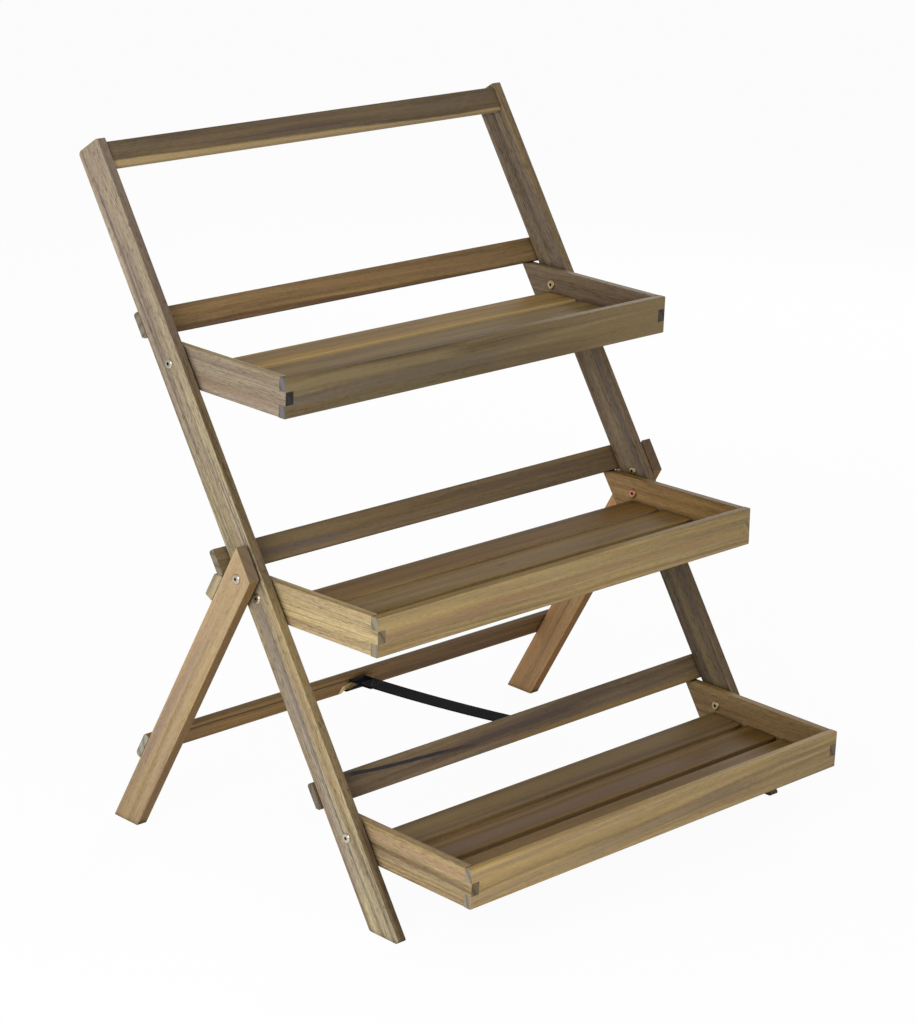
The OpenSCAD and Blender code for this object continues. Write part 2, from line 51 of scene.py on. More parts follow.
Tree = bpy.types.NodeTree
Node = bpy.types.Node
Socket = bpy.types.NodeSocket
Tint = tuple[float, float, float, float]

MM = 0.001
# The rails' and the legs' angles from upright, and the middle tray's from level.
LEAN = math.radians(33.5)
LEG_ANGLE = math.radians(28.5)
MIDDLE_TILT = math.radians(1.5)

COORD = "ShaderNodeTexCoord"
MAPPING = "ShaderNodeMapping"
NOISE = "ShaderNodeTexNoise"
MATH = "ShaderNodeMath"
VECTOR = "ShaderNodeVectorMath"
SPLIT = "ShaderNodeSeparateXYZ"
RANGE = "ShaderNodeMapRange"
RAMP = "ShaderNodeValToRGB"
MIX = "ShaderNodeMix"
BUMP = "ShaderNodeBump"
HOLLOW = "ShaderNodeAmbientOcclusion"

# The colour sockets of a mix node share their names with others, so they go by number.
SHARE, UNDER, OVER, MIXED = 0, 6, 7, 2
BLEND = {"data_type": "RGBA"}
TINT = {"data_type": "RGBA", "blend_type": "MULTIPLY"}
SMOOTH = {"interpolation_type": "SMOOTHSTEP"}
WHITE = (1, 1, 1, 1)


# ---------------------------------------------------------------- helpers


def srgb(code: str) -> Tint:
    """Turn a hex sRGB colour into Blender's linear colour.

    Args:
        code: Six hex digits.

    Returns:
        Linear red, green, blue and an alpha of 1.
    """
    parts = [int(code[k : k + 2], 16) / 255 for k in (0, 2, 4)]
    linear = [p / 12.92 if p <= 0.04045 else ((p + 0.055) / 1.055) ** 2.4 for p in parts]
    return (linear[0], linear[1], linear[2], 1.0)


def feed(tree: Tree, node: Node, feeds: dict[Any, Any]) -> None:
    """Give a node its values and links.

    Args:
        tree: Node tree of the node.
        node: The node.
        feeds: Socket name or number, and the value or output that feeds it.
    """
    for name, value in feeds.items():
        if isinstance(value, Socket):
            tree.links.new(value, node.inputs[name])
        else:
            node.inputs[name].default_value = value


def add_node(tree: Tree, kind: str, feeds: dict[Any, Any], **settings: Any) -> Node:
    """Add one shader node with its settings, values and links.

    Args:
        tree: Node tree that gets the node.
        kind: Blender's name of the node type.
        feeds: Socket name or number, and the value or output that feeds it.
        **settings: Attributes to set on the node.

    Returns:
        The new node.
    """
    node = tree.nodes.new(kind)
    for name, value in settings.items():
        setattr(node, name, value)
    feed(tree, node, feeds)
    return node


def new_material(name: str) -> tuple[bpy.types.Material, Tree, Node]:
    """Make a node material.

    Args:
        name: Name of the finish.

    Returns:
        The material, its node tree and its principled shader.
    """
    material = bpy.data.materials.new(name)
    material.use_nodes = True
    return material, material.node_tree, material.node_tree.nodes["Principled BSDF"]


def dress(node: str, material: bpy.types.Material) -> None:
    """Give a CAD node one material on all its slots.

    Args:
        node: Name of the CAD node.
        material: Its finish.
    """
    piece = frame["nodes"][node]
    if not piece.material_slots:
        piece.data.materials.append(material)
    for slot in piece.material_slots:
        slot.material = material


# ---------------------------------------------------------------- wood

# Average of a noise and of the shade that is added up from several.
MEAN = 0.5
# What a board's seed is multiplied by, so that no two boards show the same wood.
SPREAD = (3.71, 1.37, 2.19)
# What the shade multiplies the colour by where the wood is dark, average and pale.
SHADES = (
    (0.1, (0.50, 0.46, 0.43, 1)),
    (MEAN, WHITE),
    (0.9, (1.44, 1.46, 1.44, 1)),
)
# What purple-grey parts, golden parts and pores multiply the colour by.
VEIL = (0.80, 0.76, 0.90, 1)
GOLD = (1.16, 1.08, 0.82, 1)
PORE = (0.42, 0.38, 0.35, 1)
# Colour of the rails' dark streaks.
DUSK = "5C4E50"
# Half width in mm of a streak that covers its whole board.
WHOLE = 90.0


class Run(Enum):
    """How a board lies: the directions of its grain and of its width.

    The width points rearward on rails, legs and slats, up on bars, sides and fronts, and down
    on the rear bar.
    """

    RAIL = ((0, math.sin(LEAN), math.cos(LEAN)), (0, math.cos(LEAN), -math.sin(LEAN)))
    BAR = ((1, 0, 0), (0, math.sin(LEAN), math.cos(LEAN)))
    LEG = (
        (0, math.sin(LEG_ANGLE), -math.cos(LEG_ANGLE)),
        (0, math.cos(LEG_ANGLE), math.sin(LEG_ANGLE)),
    )
    REAR = ((1, 0, 0), (0, math.sin(LEG_ANGLE), -math.cos(LEG_ANGLE)))
    SIDE = ((0, 1, 0), (0, 0, 1))
    FRONT = ((1, 0, 0), (0, 0, 1))
    SLAT = ((1, 0, 0), (0, 1, 0))

    def axes(self, tilt: float) -> Matrix:
        """Directions of the board as a matrix.

        Args:
            tilt: Turn about X, in radians, that lifts the front.

        Returns:
            Rotation whose columns are the grain, width and thickness directions.
        """
        grain, width = Vector(self.value[0]), Vector(self.value[1])
        flat = Matrix((grain, width, grain.cross(width))).transposed()
        return Matrix.Rotation(-tilt, 3, "X") @ flat


@dataclass(frozen=True)
class Streak:
    """One streak of other wood that runs along a board.

    Places are in mm from the middle of the board: across its width, and along it from start
    to end. The streak moves slope mm across for each mm along, fades out over the last fade
    mm at each end, and has a border that is soft over that share of its half width.
    """

    across: float
    half: float
    colour: str
    strength: float
    start: float = -600.0
    end: float = 600.0
    slope: float = 0.0
    fade: float = 70.0
    soft: float = 0.4

    def cover(self, tree: Tree, along: Socket, across: Socket, shade: Socket) -> Socket:
        """Work out where the streak lies.

        Args:
            tree: Node tree of the material.
            along: Place along the board.
            across: Place across the board.
            shade: Shade of the wood, which frays the border.

        Returns:
            Share of the streak's colour.
        """
        feeds = {0: along, 1: -self.slope, 2: -self.across}
        line = add_node(tree, MATH, feeds, operation="MULTIPLY_ADD").outputs[0]
        off = add_node(tree, MATH, {0: line, 1: across}, operation="ADD").outputs[0]
        off = add_node(tree, MATH, {0: off}, operation="ABSOLUTE").outputs[0]
        feeds = {0: shade, 1: self.half, 2: off}
        frayed = add_node(tree, MATH, feeds, operation="MULTIPLY_ADD").outputs[0]
        inner, outer = (self.half * (1 + MEAN + side) for side in (-self.soft, self.soft))
        middle, reach = (self.start + self.end) / 2, (self.end - self.start) / 2
        past = add_node(tree, MATH, {0: along, 1: middle}, operation="SUBTRACT").outputs[0]
        past = add_node(tree, MATH, {0: past}, operation="ABSOLUTE").outputs[0]
        shares = []
        for value, low, high, most in (
            (frayed, inner, outer, self.strength),
            (past, max(reach - self.fade, 0.0), reach, 1.0),
        ):
            feeds = {"Value": value, "From Min": low, "From Max": high, "To Min": most}
            shares.append(add_node(tree, RANGE, feeds | {"To Max": 0.0}, **SMOOTH).outputs[0])
        return add_node(tree, MATH, {0: shares[0], 1: shares[1]}, operation="MULTIPLY").outputs[0]


@dataclass(frozen=True)
class Figure:
    """How lively the wood of one kind of board is.

    Widths are in mm, and so is wander, which is how far the grain strays. Depths are shares of
    the colour's range. Late is how narrow the late wood is, veil and gold how strong the
    purple-grey and golden parts are, pores how dark the pores are, and cut how far the sawn
    ends differ from their mean colour.
    """

    band: float = 10.0
    band_depth: float = 1.0
    line: float = 2.4
    line_depth: float = 0.6
    fibre_depth: float = 0.7
    mottle_depth: float = 0.2
    ring: float = 6.0
    ring_depth: float = 0.1
    late: float = 2.5
    wander: float = 5.0
    veil: float = 0.4
    gold: float = 0.35
    pores: float = 0.3
    cut: float = 0.45


PLAIN = Figure()
RAILS = Figure(band_depth=1.2, line_depth=0.9, fibre_depth=0.75, veil=0.75, gold=0.5, pores=0.8)
BARS = Figure(
    band=9.0, band_depth=0.85, line_depth=0.55, fibre_depth=0.4, veil=0.6, gold=0.45, pores=0.25
)
LEGS = Figure(
    band=12.0, band_depth=0.65, line_depth=0.35, fibre_depth=0.4,
    veil=0.35, gold=0.3, pores=0.35, cut=0.15,
)
RED = Figure(
    band=9.0, band_depth=0.8, line_depth=0.5, fibre_depth=0.4, veil=0.45, gold=0.1, pores=0.25
)
CALM = Figure(
    band=14.0, band_depth=0.5, line_depth=0.3, fibre_depth=0.3,
    veil=0.3, gold=0.3, pores=0.25, cut=0.15,
)
SIDES = Figure(
    band=8.0, band_depth=0.7, line=1.9, line_depth=0.7, fibre_depth=0.6, ring_depth=0.2, pores=0.5
)
FRONTS = Figure(
    band=9.0, band_depth=0.95, line=2.2, line_depth=0.55, fibre_depth=0.3,
    veil=0.55, gold=0.55, pores=0.25,
)
SLATS = Figure(band=12.0, band_depth=0.8, line_depth=0.5, fibre_depth=0.3, pores=0.2)


@dataclass(frozen=True)
class Oil:
    """Rubbed oil on planed wood: a dull sheen, a fine relief, and painted shade in the joints.

    Reach and depth are in m. Fibres stand up and pores lie deep, in shares of the depth.
    """

    # Tint of the painted shade in joints and gaps; reach is how far it spreads.
    hollow_shade: Tint = (0.30, 0.26, 0.23, 1)
    reach: float = 0.012
    rough: float = 0.5
    rough_fibre: float = 0.16
    rough_end: float = 0.2
    fibre_height: float = 0.35
    pore_height: float = -1.2
    relief: float = 0.22
    depth: float = 0.0005
    ior: float = 1.47
    sheen: float = 0.25

    def paint_hollow_shade(self, tree: Tree, colour: Socket) -> Socket:
        """Paint shade into the joints and the gaps between slats, which ambient occlusion finds.

        Args:
            tree: Node tree of the material.
            colour: Colour so far.

        Returns:
            The colour with its painted shade.
        """
        # Painted shade: ambient occlusion darkens the wood in joints and gaps.
        hollow = add_node(tree, HOLLOW, {"Distance": self.reach}, samples=6).outputs["AO"]
        feeds = {"Value": hollow, "From Min": 0.42, "From Max": 0.75, "To Min": 0.8, "To Max": 0.0}
        hollow = add_node(tree, RANGE, feeds, **SMOOTH).outputs[0]
        feeds = {SHARE: hollow, UNDER: colour, OVER: self.hollow_shade}
        return add_node(tree, MIX, feeds, **TINT).outputs[MIXED]

    def coat(self, tree: Tree, shader: Node, fibre: Socket, pore: Socket, end: Socket) -> None:
        """Set the sheen and the relief.

        Args:
            tree: Node tree of the material.
            shader: Its principled shader.
            fibre: The fibres.
            pore: The pores.
            end: Share of sawn end, which is duller.
        """
        feeds = {0: fibre, 1: self.rough_fibre, 2: self.rough}
        rough = add_node(tree, MATH, feeds, operation="MULTIPLY_ADD").outputs[0]
        feeds = {0: end, 1: self.rough_end, 2: rough}
        rough = add_node(tree, MATH, feeds, operation="MULTIPLY_ADD").outputs[0]
        feeds = {0: fibre, 1: self.fibre_height}
        height = add_node(tree, MATH, feeds, operation="MULTIPLY").outputs[0]
        feeds = {0: pore, 1: self.pore_height, 2: height}
        height = add_node(tree, MATH, feeds, operation="MULTIPLY_ADD").outputs[0]
        feeds = {"Height": height, "Strength": self.relief, "Distance": self.depth}
        bump = add_node(tree, BUMP, feeds).outputs[0]
        feeds = {"Roughness": rough, "Normal": bump, "IOR": self.ior}
        feed(tree, shader, feeds | {"Specular IOR Level": self.sheen})


OIL = Oil()


@dataclass(frozen=True)
class Board:
    """One planed and oiled acacia board, with its own cut of wood.

    Acacia is brown with darker, purple-grey and golden streaks along the grain. The eye gets
    those streaks, fine lines and pores, arches where the board is sawn flat, and bluish
    end grain with the growth rings across it. The three colours are those of the wide faces,
    of the narrow edges and of the sawn ends. Tilt is the board's angle from its run and skew
    the grain's from the board, in radians. Pith is the heart of the log, in mm across and
    through. Arch is how fast the rings drift along the board, and far how much lighter its
    far end is than its near one. The fresh streaks are laid over the pores and the painted
    shade in the joints; the rear bar's is the bare wood of its recess.
    """

    node: str
    run: Run
    figure: Figure
    seed: float
    face: str
    edge: str
    end: str
    tilt: float = 0.0
    pith: tuple[float, float] = (60.0, -35.0)
    arch: float = 0.03
    skew: float = 0.0
    far: float = 1.0
    streaks: tuple[Streak, ...] = ()
    fresh: tuple[Streak, ...] = ()

    def local(self, tree: Tree, coord: Node) -> Socket:
        """Turn object coordinates into mm along, across and through the board.

        Args:
            tree: Node tree of the material.
            coord: Texture coordinate node.

        Returns:
            The board's own coordinates.
        """
        low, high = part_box(self.node)
        lie = self.run.axes(self.tilt) @ Matrix.Rotation(self.skew, 3, "Z")
        feeds = {
            "Vector": coord.outputs["Object"],
            "Location": (low + high) / 2,
            "Rotation": lie.to_euler("XYZ"),
            "Scale": (MM, MM, MM),
        }
        return add_node(tree, MAPPING, feeds, vector_type="TEXTURE").outputs[0]

    def pattern(
        self,
        tree: Tree,
        source: Socket,
        size: tuple[float, float, float],
        shift: float,
        detail: float,
        output: str = "Fac",
    ) -> Socket:
        """Draw noise of one size on the board.

        Args:
            tree: Node tree of the material.
            source: The board's coordinates.
            size: Size of the pattern along, across and through the board, in mm.
            shift: Offset that sets this pattern apart from the board's others.
            detail: How many finer layers the noise has.
            output: Output of the noise node.

        Returns:
            The noise.
        """
        first, second, third = (self.seed * step for step in SPREAD)
        place = (first + shift, second - shift, third + shift)
        feeds = {0: source, 1: tuple(1 / s for s in size), 2: place}
        vector = add_node(tree, VECTOR, feeds, operation="MULTIPLY_ADD").outputs[0]
        feeds = {"Vector": vector, "Scale": 1.0, "Detail": detail}
        return add_node(tree, NOISE, feeds).outputs[output]

    def bent(self, tree: Tree, local: Socket) -> Socket:
        """Let the grain wander by a few mm along the board.

        Args:
            tree: Node tree of the material.
            local: The board's coordinates.

        Returns:
            Coordinates that follow the grain.
        """
        drift = self.pattern(tree, local, (230, 60, 60), 11.0, 1.0, "Color")
        stray = self.figure.wander
        feeds = {0: drift, 1: (0, 2 * stray, 2 * stray), 2: (0, -stray, -stray)}
        centred = add_node(tree, VECTOR, feeds, operation="MULTIPLY_ADD").outputs[0]
        return add_node(tree, VECTOR, {0: local, 1: centred}, operation="ADD").outputs[0]

    def rings(self, tree: Tree, bent: Socket) -> Socket:
        """Draw growth rings about a pith beside the board; a slight slope makes them arch.

        Args:
            tree: Node tree of the material.
            bent: Coordinates that follow the grain.

        Returns:
            Depth of the late wood, from 0 to 1.
        """
        feeds = {0: bent, 1: (self.arch, 1, 1), 2: (self.seed * 0.9, *self.pith)}
        about = add_node(tree, VECTOR, feeds, operation="MULTIPLY_ADD").outputs[0]
        radius = add_node(tree, VECTOR, {0: about}, operation="LENGTH").outputs["Value"]
        feeds = {0: radius, 1: self.figure.ring}
        turns = add_node(tree, MATH, feeds, operation="DIVIDE").outputs[0]
        part = add_node(tree, MATH, {0: turns, 1: 1.0}, operation="PINGPONG").outputs[0]
        return add_node(tree, MATH, {0: part, 1: self.figure.late}, operation="POWER").outputs[0]

    def shade(self, tree: Tree, bent: Socket, late: Socket) -> tuple[Socket, Socket]:
        """Add the bands, lines, fibres and rings up into one shade.

        Args:
            tree: Node tree of the material.
            bent: Coordinates that follow the grain.
            late: Depth of the late wood.

        Returns:
            The shade, and the fibres alone.
        """
        figure = self.figure
        total: Socket | float = MEAN
        for size, shift, detail, depth in (
            ((420, figure.band, figure.band), 3.0, 2.0, figure.band_depth),
            ((210, figure.line, figure.line), 13.0, 2.0, figure.line_depth),
            ((5, 3.0, 3.0), 17.0, 1.0, figure.mottle_depth),
            # Fibres are 0.02 mm wide; drawn 1 mm wide so that they show.
            ((16, 1.0, 1.0), 7.0, 1.0, figure.fibre_depth),
        ):
            fibre = self.pattern(tree, bent, size, shift, detail)
            feeds = {0: fibre, 1: depth, 2: -MEAN * depth}
            offset = add_node(tree, MATH, feeds, operation="MULTIPLY_ADD").outputs[0]
            total = add_node(tree, MATH, {0: total, 1: offset}, operation="ADD").outputs[0]
        feeds = {0: late, 1: -figure.ring_depth, 2: total}
        return add_node(tree, MATH, feeds, operation="MULTIPLY_ADD").outputs[0], fibre

    def sides(self, tree: Tree, coord: Node) -> tuple[Socket, Socket]:
        """Tell the wide faces, the narrow edges and the sawn ends apart.

        Args:
            tree: Node tree of the material.
            coord: Texture coordinate node.

        Returns:
            Share of edge and share of end, from 0 to 1.
        """
        axes = self.run.axes(self.tilt)
        shares = []
        # A rounded corner changes over between the two cosines.
        for column, low, high in ((1, 0.45, 0.9), (0, 0.55, 0.85)):
            feeds = {0: coord.outputs["Normal"], 1: axes.col[column]}
            facing = add_node(tree, VECTOR, feeds, operation="DOT_PRODUCT").outputs["Value"]
            size = add_node(tree, MATH, {0: facing}, operation="ABSOLUTE").outputs[0]
            feeds = {"Value": size, "From Min": low, "From Max": high}
            shares.append(add_node(tree, RANGE, feeds, **SMOOTH).outputs[0])
        return shares[0], shares[1]

    def tinted(self, tree: Tree, bent: Socket, shade: Socket, edge: Socket) -> Socket:
        """Colour the shade, with purple-grey and golden parts along the grain.

        Args:
            tree: Node tree of the material.
            bent: Coordinates that follow the grain.
            shade: Shade of the wood.
            edge: Share of edge.

        Returns:
            The colour of the long sides.
        """
        feeds = {SHARE: edge, UNDER: srgb(self.face), OVER: srgb(self.edge)}
        base = add_node(tree, MIX, feeds, **BLEND).outputs[MIXED]
        ramp = add_node(tree, RAMP, {"Fac": shade})
        ramp.color_ramp.elements.new(MEAN)
        for stop, (place, tint) in zip(ramp.color_ramp.elements, SHADES):
            stop.position, stop.color = place, tint
        feeds = {SHARE: 1.0, UNDER: base, OVER: ramp.outputs[0]}
        colour = add_node(tree, MIX, feeds, **TINT).outputs[MIXED]
        width = self.figure.band * 1.2
        for shift, most, tint in ((19.0, self.figure.veil, VEIL), (29.0, self.figure.gold, GOLD)):
            part = self.pattern(tree, bent, (330, width, width), shift, 3.0)
            feeds = {"Value": part, "From Min": 0.47, "From Max": 0.64, "To Min": 0.0}
            part = add_node(tree, RANGE, feeds | {"To Max": most}, **SMOOTH).outputs[0]
            feeds = {SHARE: part, UNDER: colour, OVER: tint}
            colour = add_node(tree, MIX, feeds, **TINT).outputs[MIXED]
        return colour

    @staticmethod
    def streaked(
        tree: Tree, source: Socket, shade: Socket, colour: Socket, streaks: tuple[Streak, ...]
    ) -> Socket:
        """Lay streaks over the colour.

        Args:
            tree: Node tree of the material.
            source: Coordinates that the streaks follow.
            shade: Shade of the wood, which frays the streaks.
            colour: Colour so far.
            streaks: The streaks.

        Returns:
            The colour with its streaks.
        """
        if not streaks:
            return colour
        place = add_node(tree, SPLIT, {0: source}).outputs
        for streak in streaks:
            share = streak.cover(tree, place[0], place[1], shade)
            feeds = {SHARE: share, UNDER: colour, OVER: srgb(streak.colour)}
            colour = add_node(tree, MIX, feeds, **BLEND).outputs[MIXED]
        return colour

    def pored(self, tree: Tree, bent: Socket, colour: Socket) -> tuple[Socket, Socket]:
        """Draw the pores.

        Args:
            tree: Node tree of the material.
            bent: Coordinates that follow the grain.
            colour: Colour so far.

        Returns:
            The colour with its pores, and the pores alone.
        """
        # Pores are 0.2 mm wide and 5 mm long; drawn 0.8 mm wide so that they show.
        pore = self.pattern(tree, bent, (9, 0.8, 0.8), 23.0, 0.0)
        feeds = {"Value": pore, "From Min": 0.6, "From Max": 0.7, "To Min": 0.0}
        pore = add_node(tree, RANGE, feeds | {"To Max": self.figure.pores}, **SMOOTH).outputs[0]
        feeds = {SHARE: pore, UNDER: colour, OVER: PORE}
        return add_node(tree, MIX, feeds, **TINT).outputs[MIXED], pore

    def sawn(self, tree: Tree, local: Socket, late: Socket) -> Socket:
        """Draw the end grain: rings and a speckle of cut pores.

        Args:
            tree: Node tree of the material.
            local: The board's coordinates.
            late: Depth of the late wood.

        Returns:
            The colour of the sawn ends.
        """
        contrast = self.figure.cut
        feeds = {"Value": late, "To Min": 1 + 0.4 * contrast, "To Max": 1 - 0.84 * contrast}
        cut = add_node(tree, RANGE, feeds).outputs[0]
        speckle = self.pattern(tree, local, (2.0, 1.5, 1.5), 31.0, 2.0)
        feeds = {0: speckle, 1: 2 * contrast, 2: -contrast}
        mottle = add_node(tree, MATH, feeds, operation="MULTIPLY_ADD").outputs[0]
        cut = add_node(tree, MATH, {0: cut, 1: mottle}, operation="ADD").outputs[0]
        # Any end is more than 9 mm from the middle.
        along = add_node(tree, SPLIT, {0: local}).outputs[0]
        feeds = {"Value": along, "From Min": -9.0, "From Max": 9.0, "To Min": 1.0}
        lighter = add_node(tree, RANGE, feeds | {"To Max": self.far}).outputs[0]
        cut = add_node(tree, MATH, {0: cut, 1: lighter}, operation="MULTIPLY").outputs[0]
        feeds = {SHARE: 1.0, UNDER: srgb(self.end), OVER: cut}
        return add_node(tree, MIX, feeds, **TINT).outputs[MIXED]

    def material(self) -> bpy.types.Material:
        """Build the board's own wood, with the grain along its length.

        Returns:
            The material.
        """
        material, tree, shader = new_material(f"oiled acacia {self.node}")
        coord = add_node(tree, COORD, {})
        local = self.local(tree, coord)
        bent = self.bent(tree, local)
        late = self.rings(tree, bent)
        shade, fibre = self.shade(tree, bent, late)
        edge, end = self.sides(tree, coord)
        colour = self.tinted(tree, bent, shade, edge)
        colour = self.streaked(tree, bent, shade, colour, self.streaks)
        colour, pore = self.pored(tree, bent, colour)
        feeds = {SHARE: end, UNDER: colour, OVER: self.sawn(tree, local, late)}
        colour = add_node(tree, MIX, feeds, **BLEND).outputs[MIXED]
        # Painted shade in the joints and in the gaps between slats.
        colour = OIL.paint_hollow_shade(tree, colour)
        colour = self.streaked(tree, local, shade, colour, self.fresh)
        feed(tree, shader, {"Base Color": colour})
        OIL.coat(tree, shader, fibre, pore, end)
        return material


FRONT_BOARDS = (
    Board("rail_left", Run.RAIL, RAILS, 1.0, "93876C", "65563C", "5E564C", pith=(46, 30), streaks=(
        Streak(20.5, 3.6, "B5A78D", 0.75, 250, 500, 0.010, 130),
        Streak(2.0, WHOLE, "8A7A70", 0.45, 60, 1000, fade=450),
        Streak(11.5, 2.2, DUSK, 0.65, 60, 480, 0.010, 60),
        Streak(6.0, 1.4, DUSK, 0.50, 130, 420, 0.006),
        Streak(-7.0, 1.8, DUSK, 0.55, -110, 140, 0.010),
        Streak(-12.0, 1.3, DUSK, 0.45, -90, 90, 0.010),
        Streak(4.5, 1.5, DUSK, 0.70, -470, -60, -0.004),
        Streak(14.0, 8.0, "7A6E68", 0.45, -480, -30),
        Streak(-8.0, 8.0, "A08A62", 0.45, -400, -60),
    )),
    Board(
        "rail_right", Run.RAIL, RAILS, 2.0, "726450", "79664A", "564E45",
        pith=(-50, -30), streaks=(
            Streak(0.0, WHOLE, "43372B", 0.45, -900, 200, fade=600),
            Streak(5.0, 5.0, "7E6F4E", 0.5, -430, -60),
            Streak(-9.0, 3.0, DUSK, 0.5, -300, 300),
        ),
    ),
    Board("handle_bar", Run.BAR, BARS, 3.0, "675741", "8F7B56", "6A6458", pith=(40, 50), streaks=(
        Streak(-18.5, 6.0, "A08960", 0.95, slope=-0.008, soft=0.25),
        Streak(3.0, 12.0, "56483F", 0.3, -170, 140, fade=130),
        Streak(-4.0, 3.0, "4E4540", 0.25, -220, 60),
        Streak(5.0, 2.4, "7D6443", 0.3, -260, 200, 0.004),
    )),
    Board(
        "crossbar_top", Run.BAR, BARS, 4.0, "816844", "5A4632", "6E6759",
        pith=(-60, 20), skew=-0.008, streaks=(
            Streak(-16.0, 3.5, "4A3020", 0.55),
            Streak(3.0, 6.0, "8B6C47", 0.45, -120, 300),
        ),
    ),
    Board(
        "crossbar_middle", Run.BAR, BARS, 5.0, "715F45", "4E4032", "6C6656",
        pith=(70, 40), streaks=(
            Streak(8.0, 5.0, "7C6A49", 0.45, -340, -20),
            Streak(-6.0, 4.5, "5E5450", 0.5, -330, -120),
            Streak(2.0, 3.0, "584846", 0.4, 20, 300, 0.01),
        ),
    ),
    Board(
        "crossbar_bottom", Run.BAR, BARS, 6.0, "74634B", "4A3D2E", "605A4C",
        pith=(30, -60), skew=0.02, streaks=(
            Streak(-9.2, 2.0, "25262F", 0.9, -300, -70, -0.093, 25, 0.3),
            Streak(0.0, 3.5, "463A40", 0.6, -130, 120, -0.02, 60),
            Streak(6.0, 5.0, "584B42", 0.55, -120, 200),
            Streak(-4.0, 4.0, "57483C", 0.5, -200, 160, -0.02),
            Streak(-14.5, 3.0, "8A6E3E", 0.7, -60, 340, -0.02),
            Streak(2.0, 5.0, "85693F", 0.55, 190, 330, 0.06),
            Streak(8.0, 1.6, "55585E", 0.5, 150, 330, 0.04),
        ),
    ),
)

REAR_BOARDS = (
    Board("leg_left", Run.LEG, LEGS, 7.0, "9E8867", "7E623B", "6C5A45", pith=(50, 60), streaks=(
        Streak(-1.0, 4.5, "8E7868", 0.55, -120, 170, 0.02),
        Streak(10.0, 5.0, "AF8A68", 0.2, -190, 60),
        Streak(0.0, WHOLE, "A08358", 0.35, 60, 900, fade=300),
    )),
    Board("leg_right", Run.LEG, CALM, 8.0, "B08D62", "89602B", "5E4C3A", pith=(-60, 40), streaks=(
        Streak(6.0, 6.0, "A9774C", 0.4),
        Streak(-12.0, 1.5, "6C4A33", 0.4, -200, 250),
    )),
    Board("rear_bar", Run.REAR, RED, 9.0, "91703F", "745C34", "8B8679", pith=(50, 50), streaks=(
        Streak(-9.0, 1.7, "35241A", 0.8, -350, 40),
        Streak(6.0, 6.0, "5A3D28", 0.45, -20, 350),
        Streak(0.0, WHOLE, "5C4636", 0.45, -60, 600, fade=250),
    ), fresh=(
        Streak(14.0, 11.0, "F0CF92", 1.0, -28.0, 28.0, fade=2.0, soft=0.1),
    )),
    Board("stop_block_left", Run.LEG, LEGS, 10.0, "998B6E", "8E7C5E", "6F6250"),
    Board("stop_block_right", Run.LEG, LEGS, 11.0, "B09E7D", "8E7C5E", "6F6250"),
)

# How each board of a tray lies, its figure and its pith, in the order of their seeds.
TRAY_KINDS = {
    "side_left": (Run.SIDE, SIDES, (40, 60)),
    "side_right": (Run.SIDE, SIDES, (40, 60)),
    "cleat_left": (Run.SIDE, PLAIN, (60, -35)),
    "cleat_right": (Run.SIDE, PLAIN, (60, -35)),
    "front": (Run.FRONT, FRONTS, (25, 70)),
    "slat_rear": (Run.SLAT, SLATS, (20, -60)),
    "slat_middle": (Run.SLAT, SLATS, (20, -60)),
    "slat_front": (Run.SLAT, SLATS, (20, -60)),
}
# Each tray's first seed and its tilt.
TRAYS = {"top": (20.0, 0.0), "middle": (30.0, MIDDLE_TILT), "bottom": (40.0, 0.0)}


def tray_board(
    tray: str, kind: str, face: str, edge: str, end: str = "6A5C4F", **own: Any
) -> Board:
    """Describe one board of a tray.

    Args:
        tray: Which tray.
        kind: Which of its boards.
        face: Colour of the wide faces.
        edge: Colour of the narrow edges.
        end: Colour of the sawn ends.
        **own: What else is this board's own, such as its streaks.

    Returns:
        The board.
    """
    first, tilt = TRAYS[tray]
    run, figure, pith = TRAY_KINDS[kind]
    seed = first + list(TRAY_KINDS).index(kind)
    return Board(f"tray_{tray}_{kind}", run, figure, seed, face, edge, end, tilt, pith, **own)


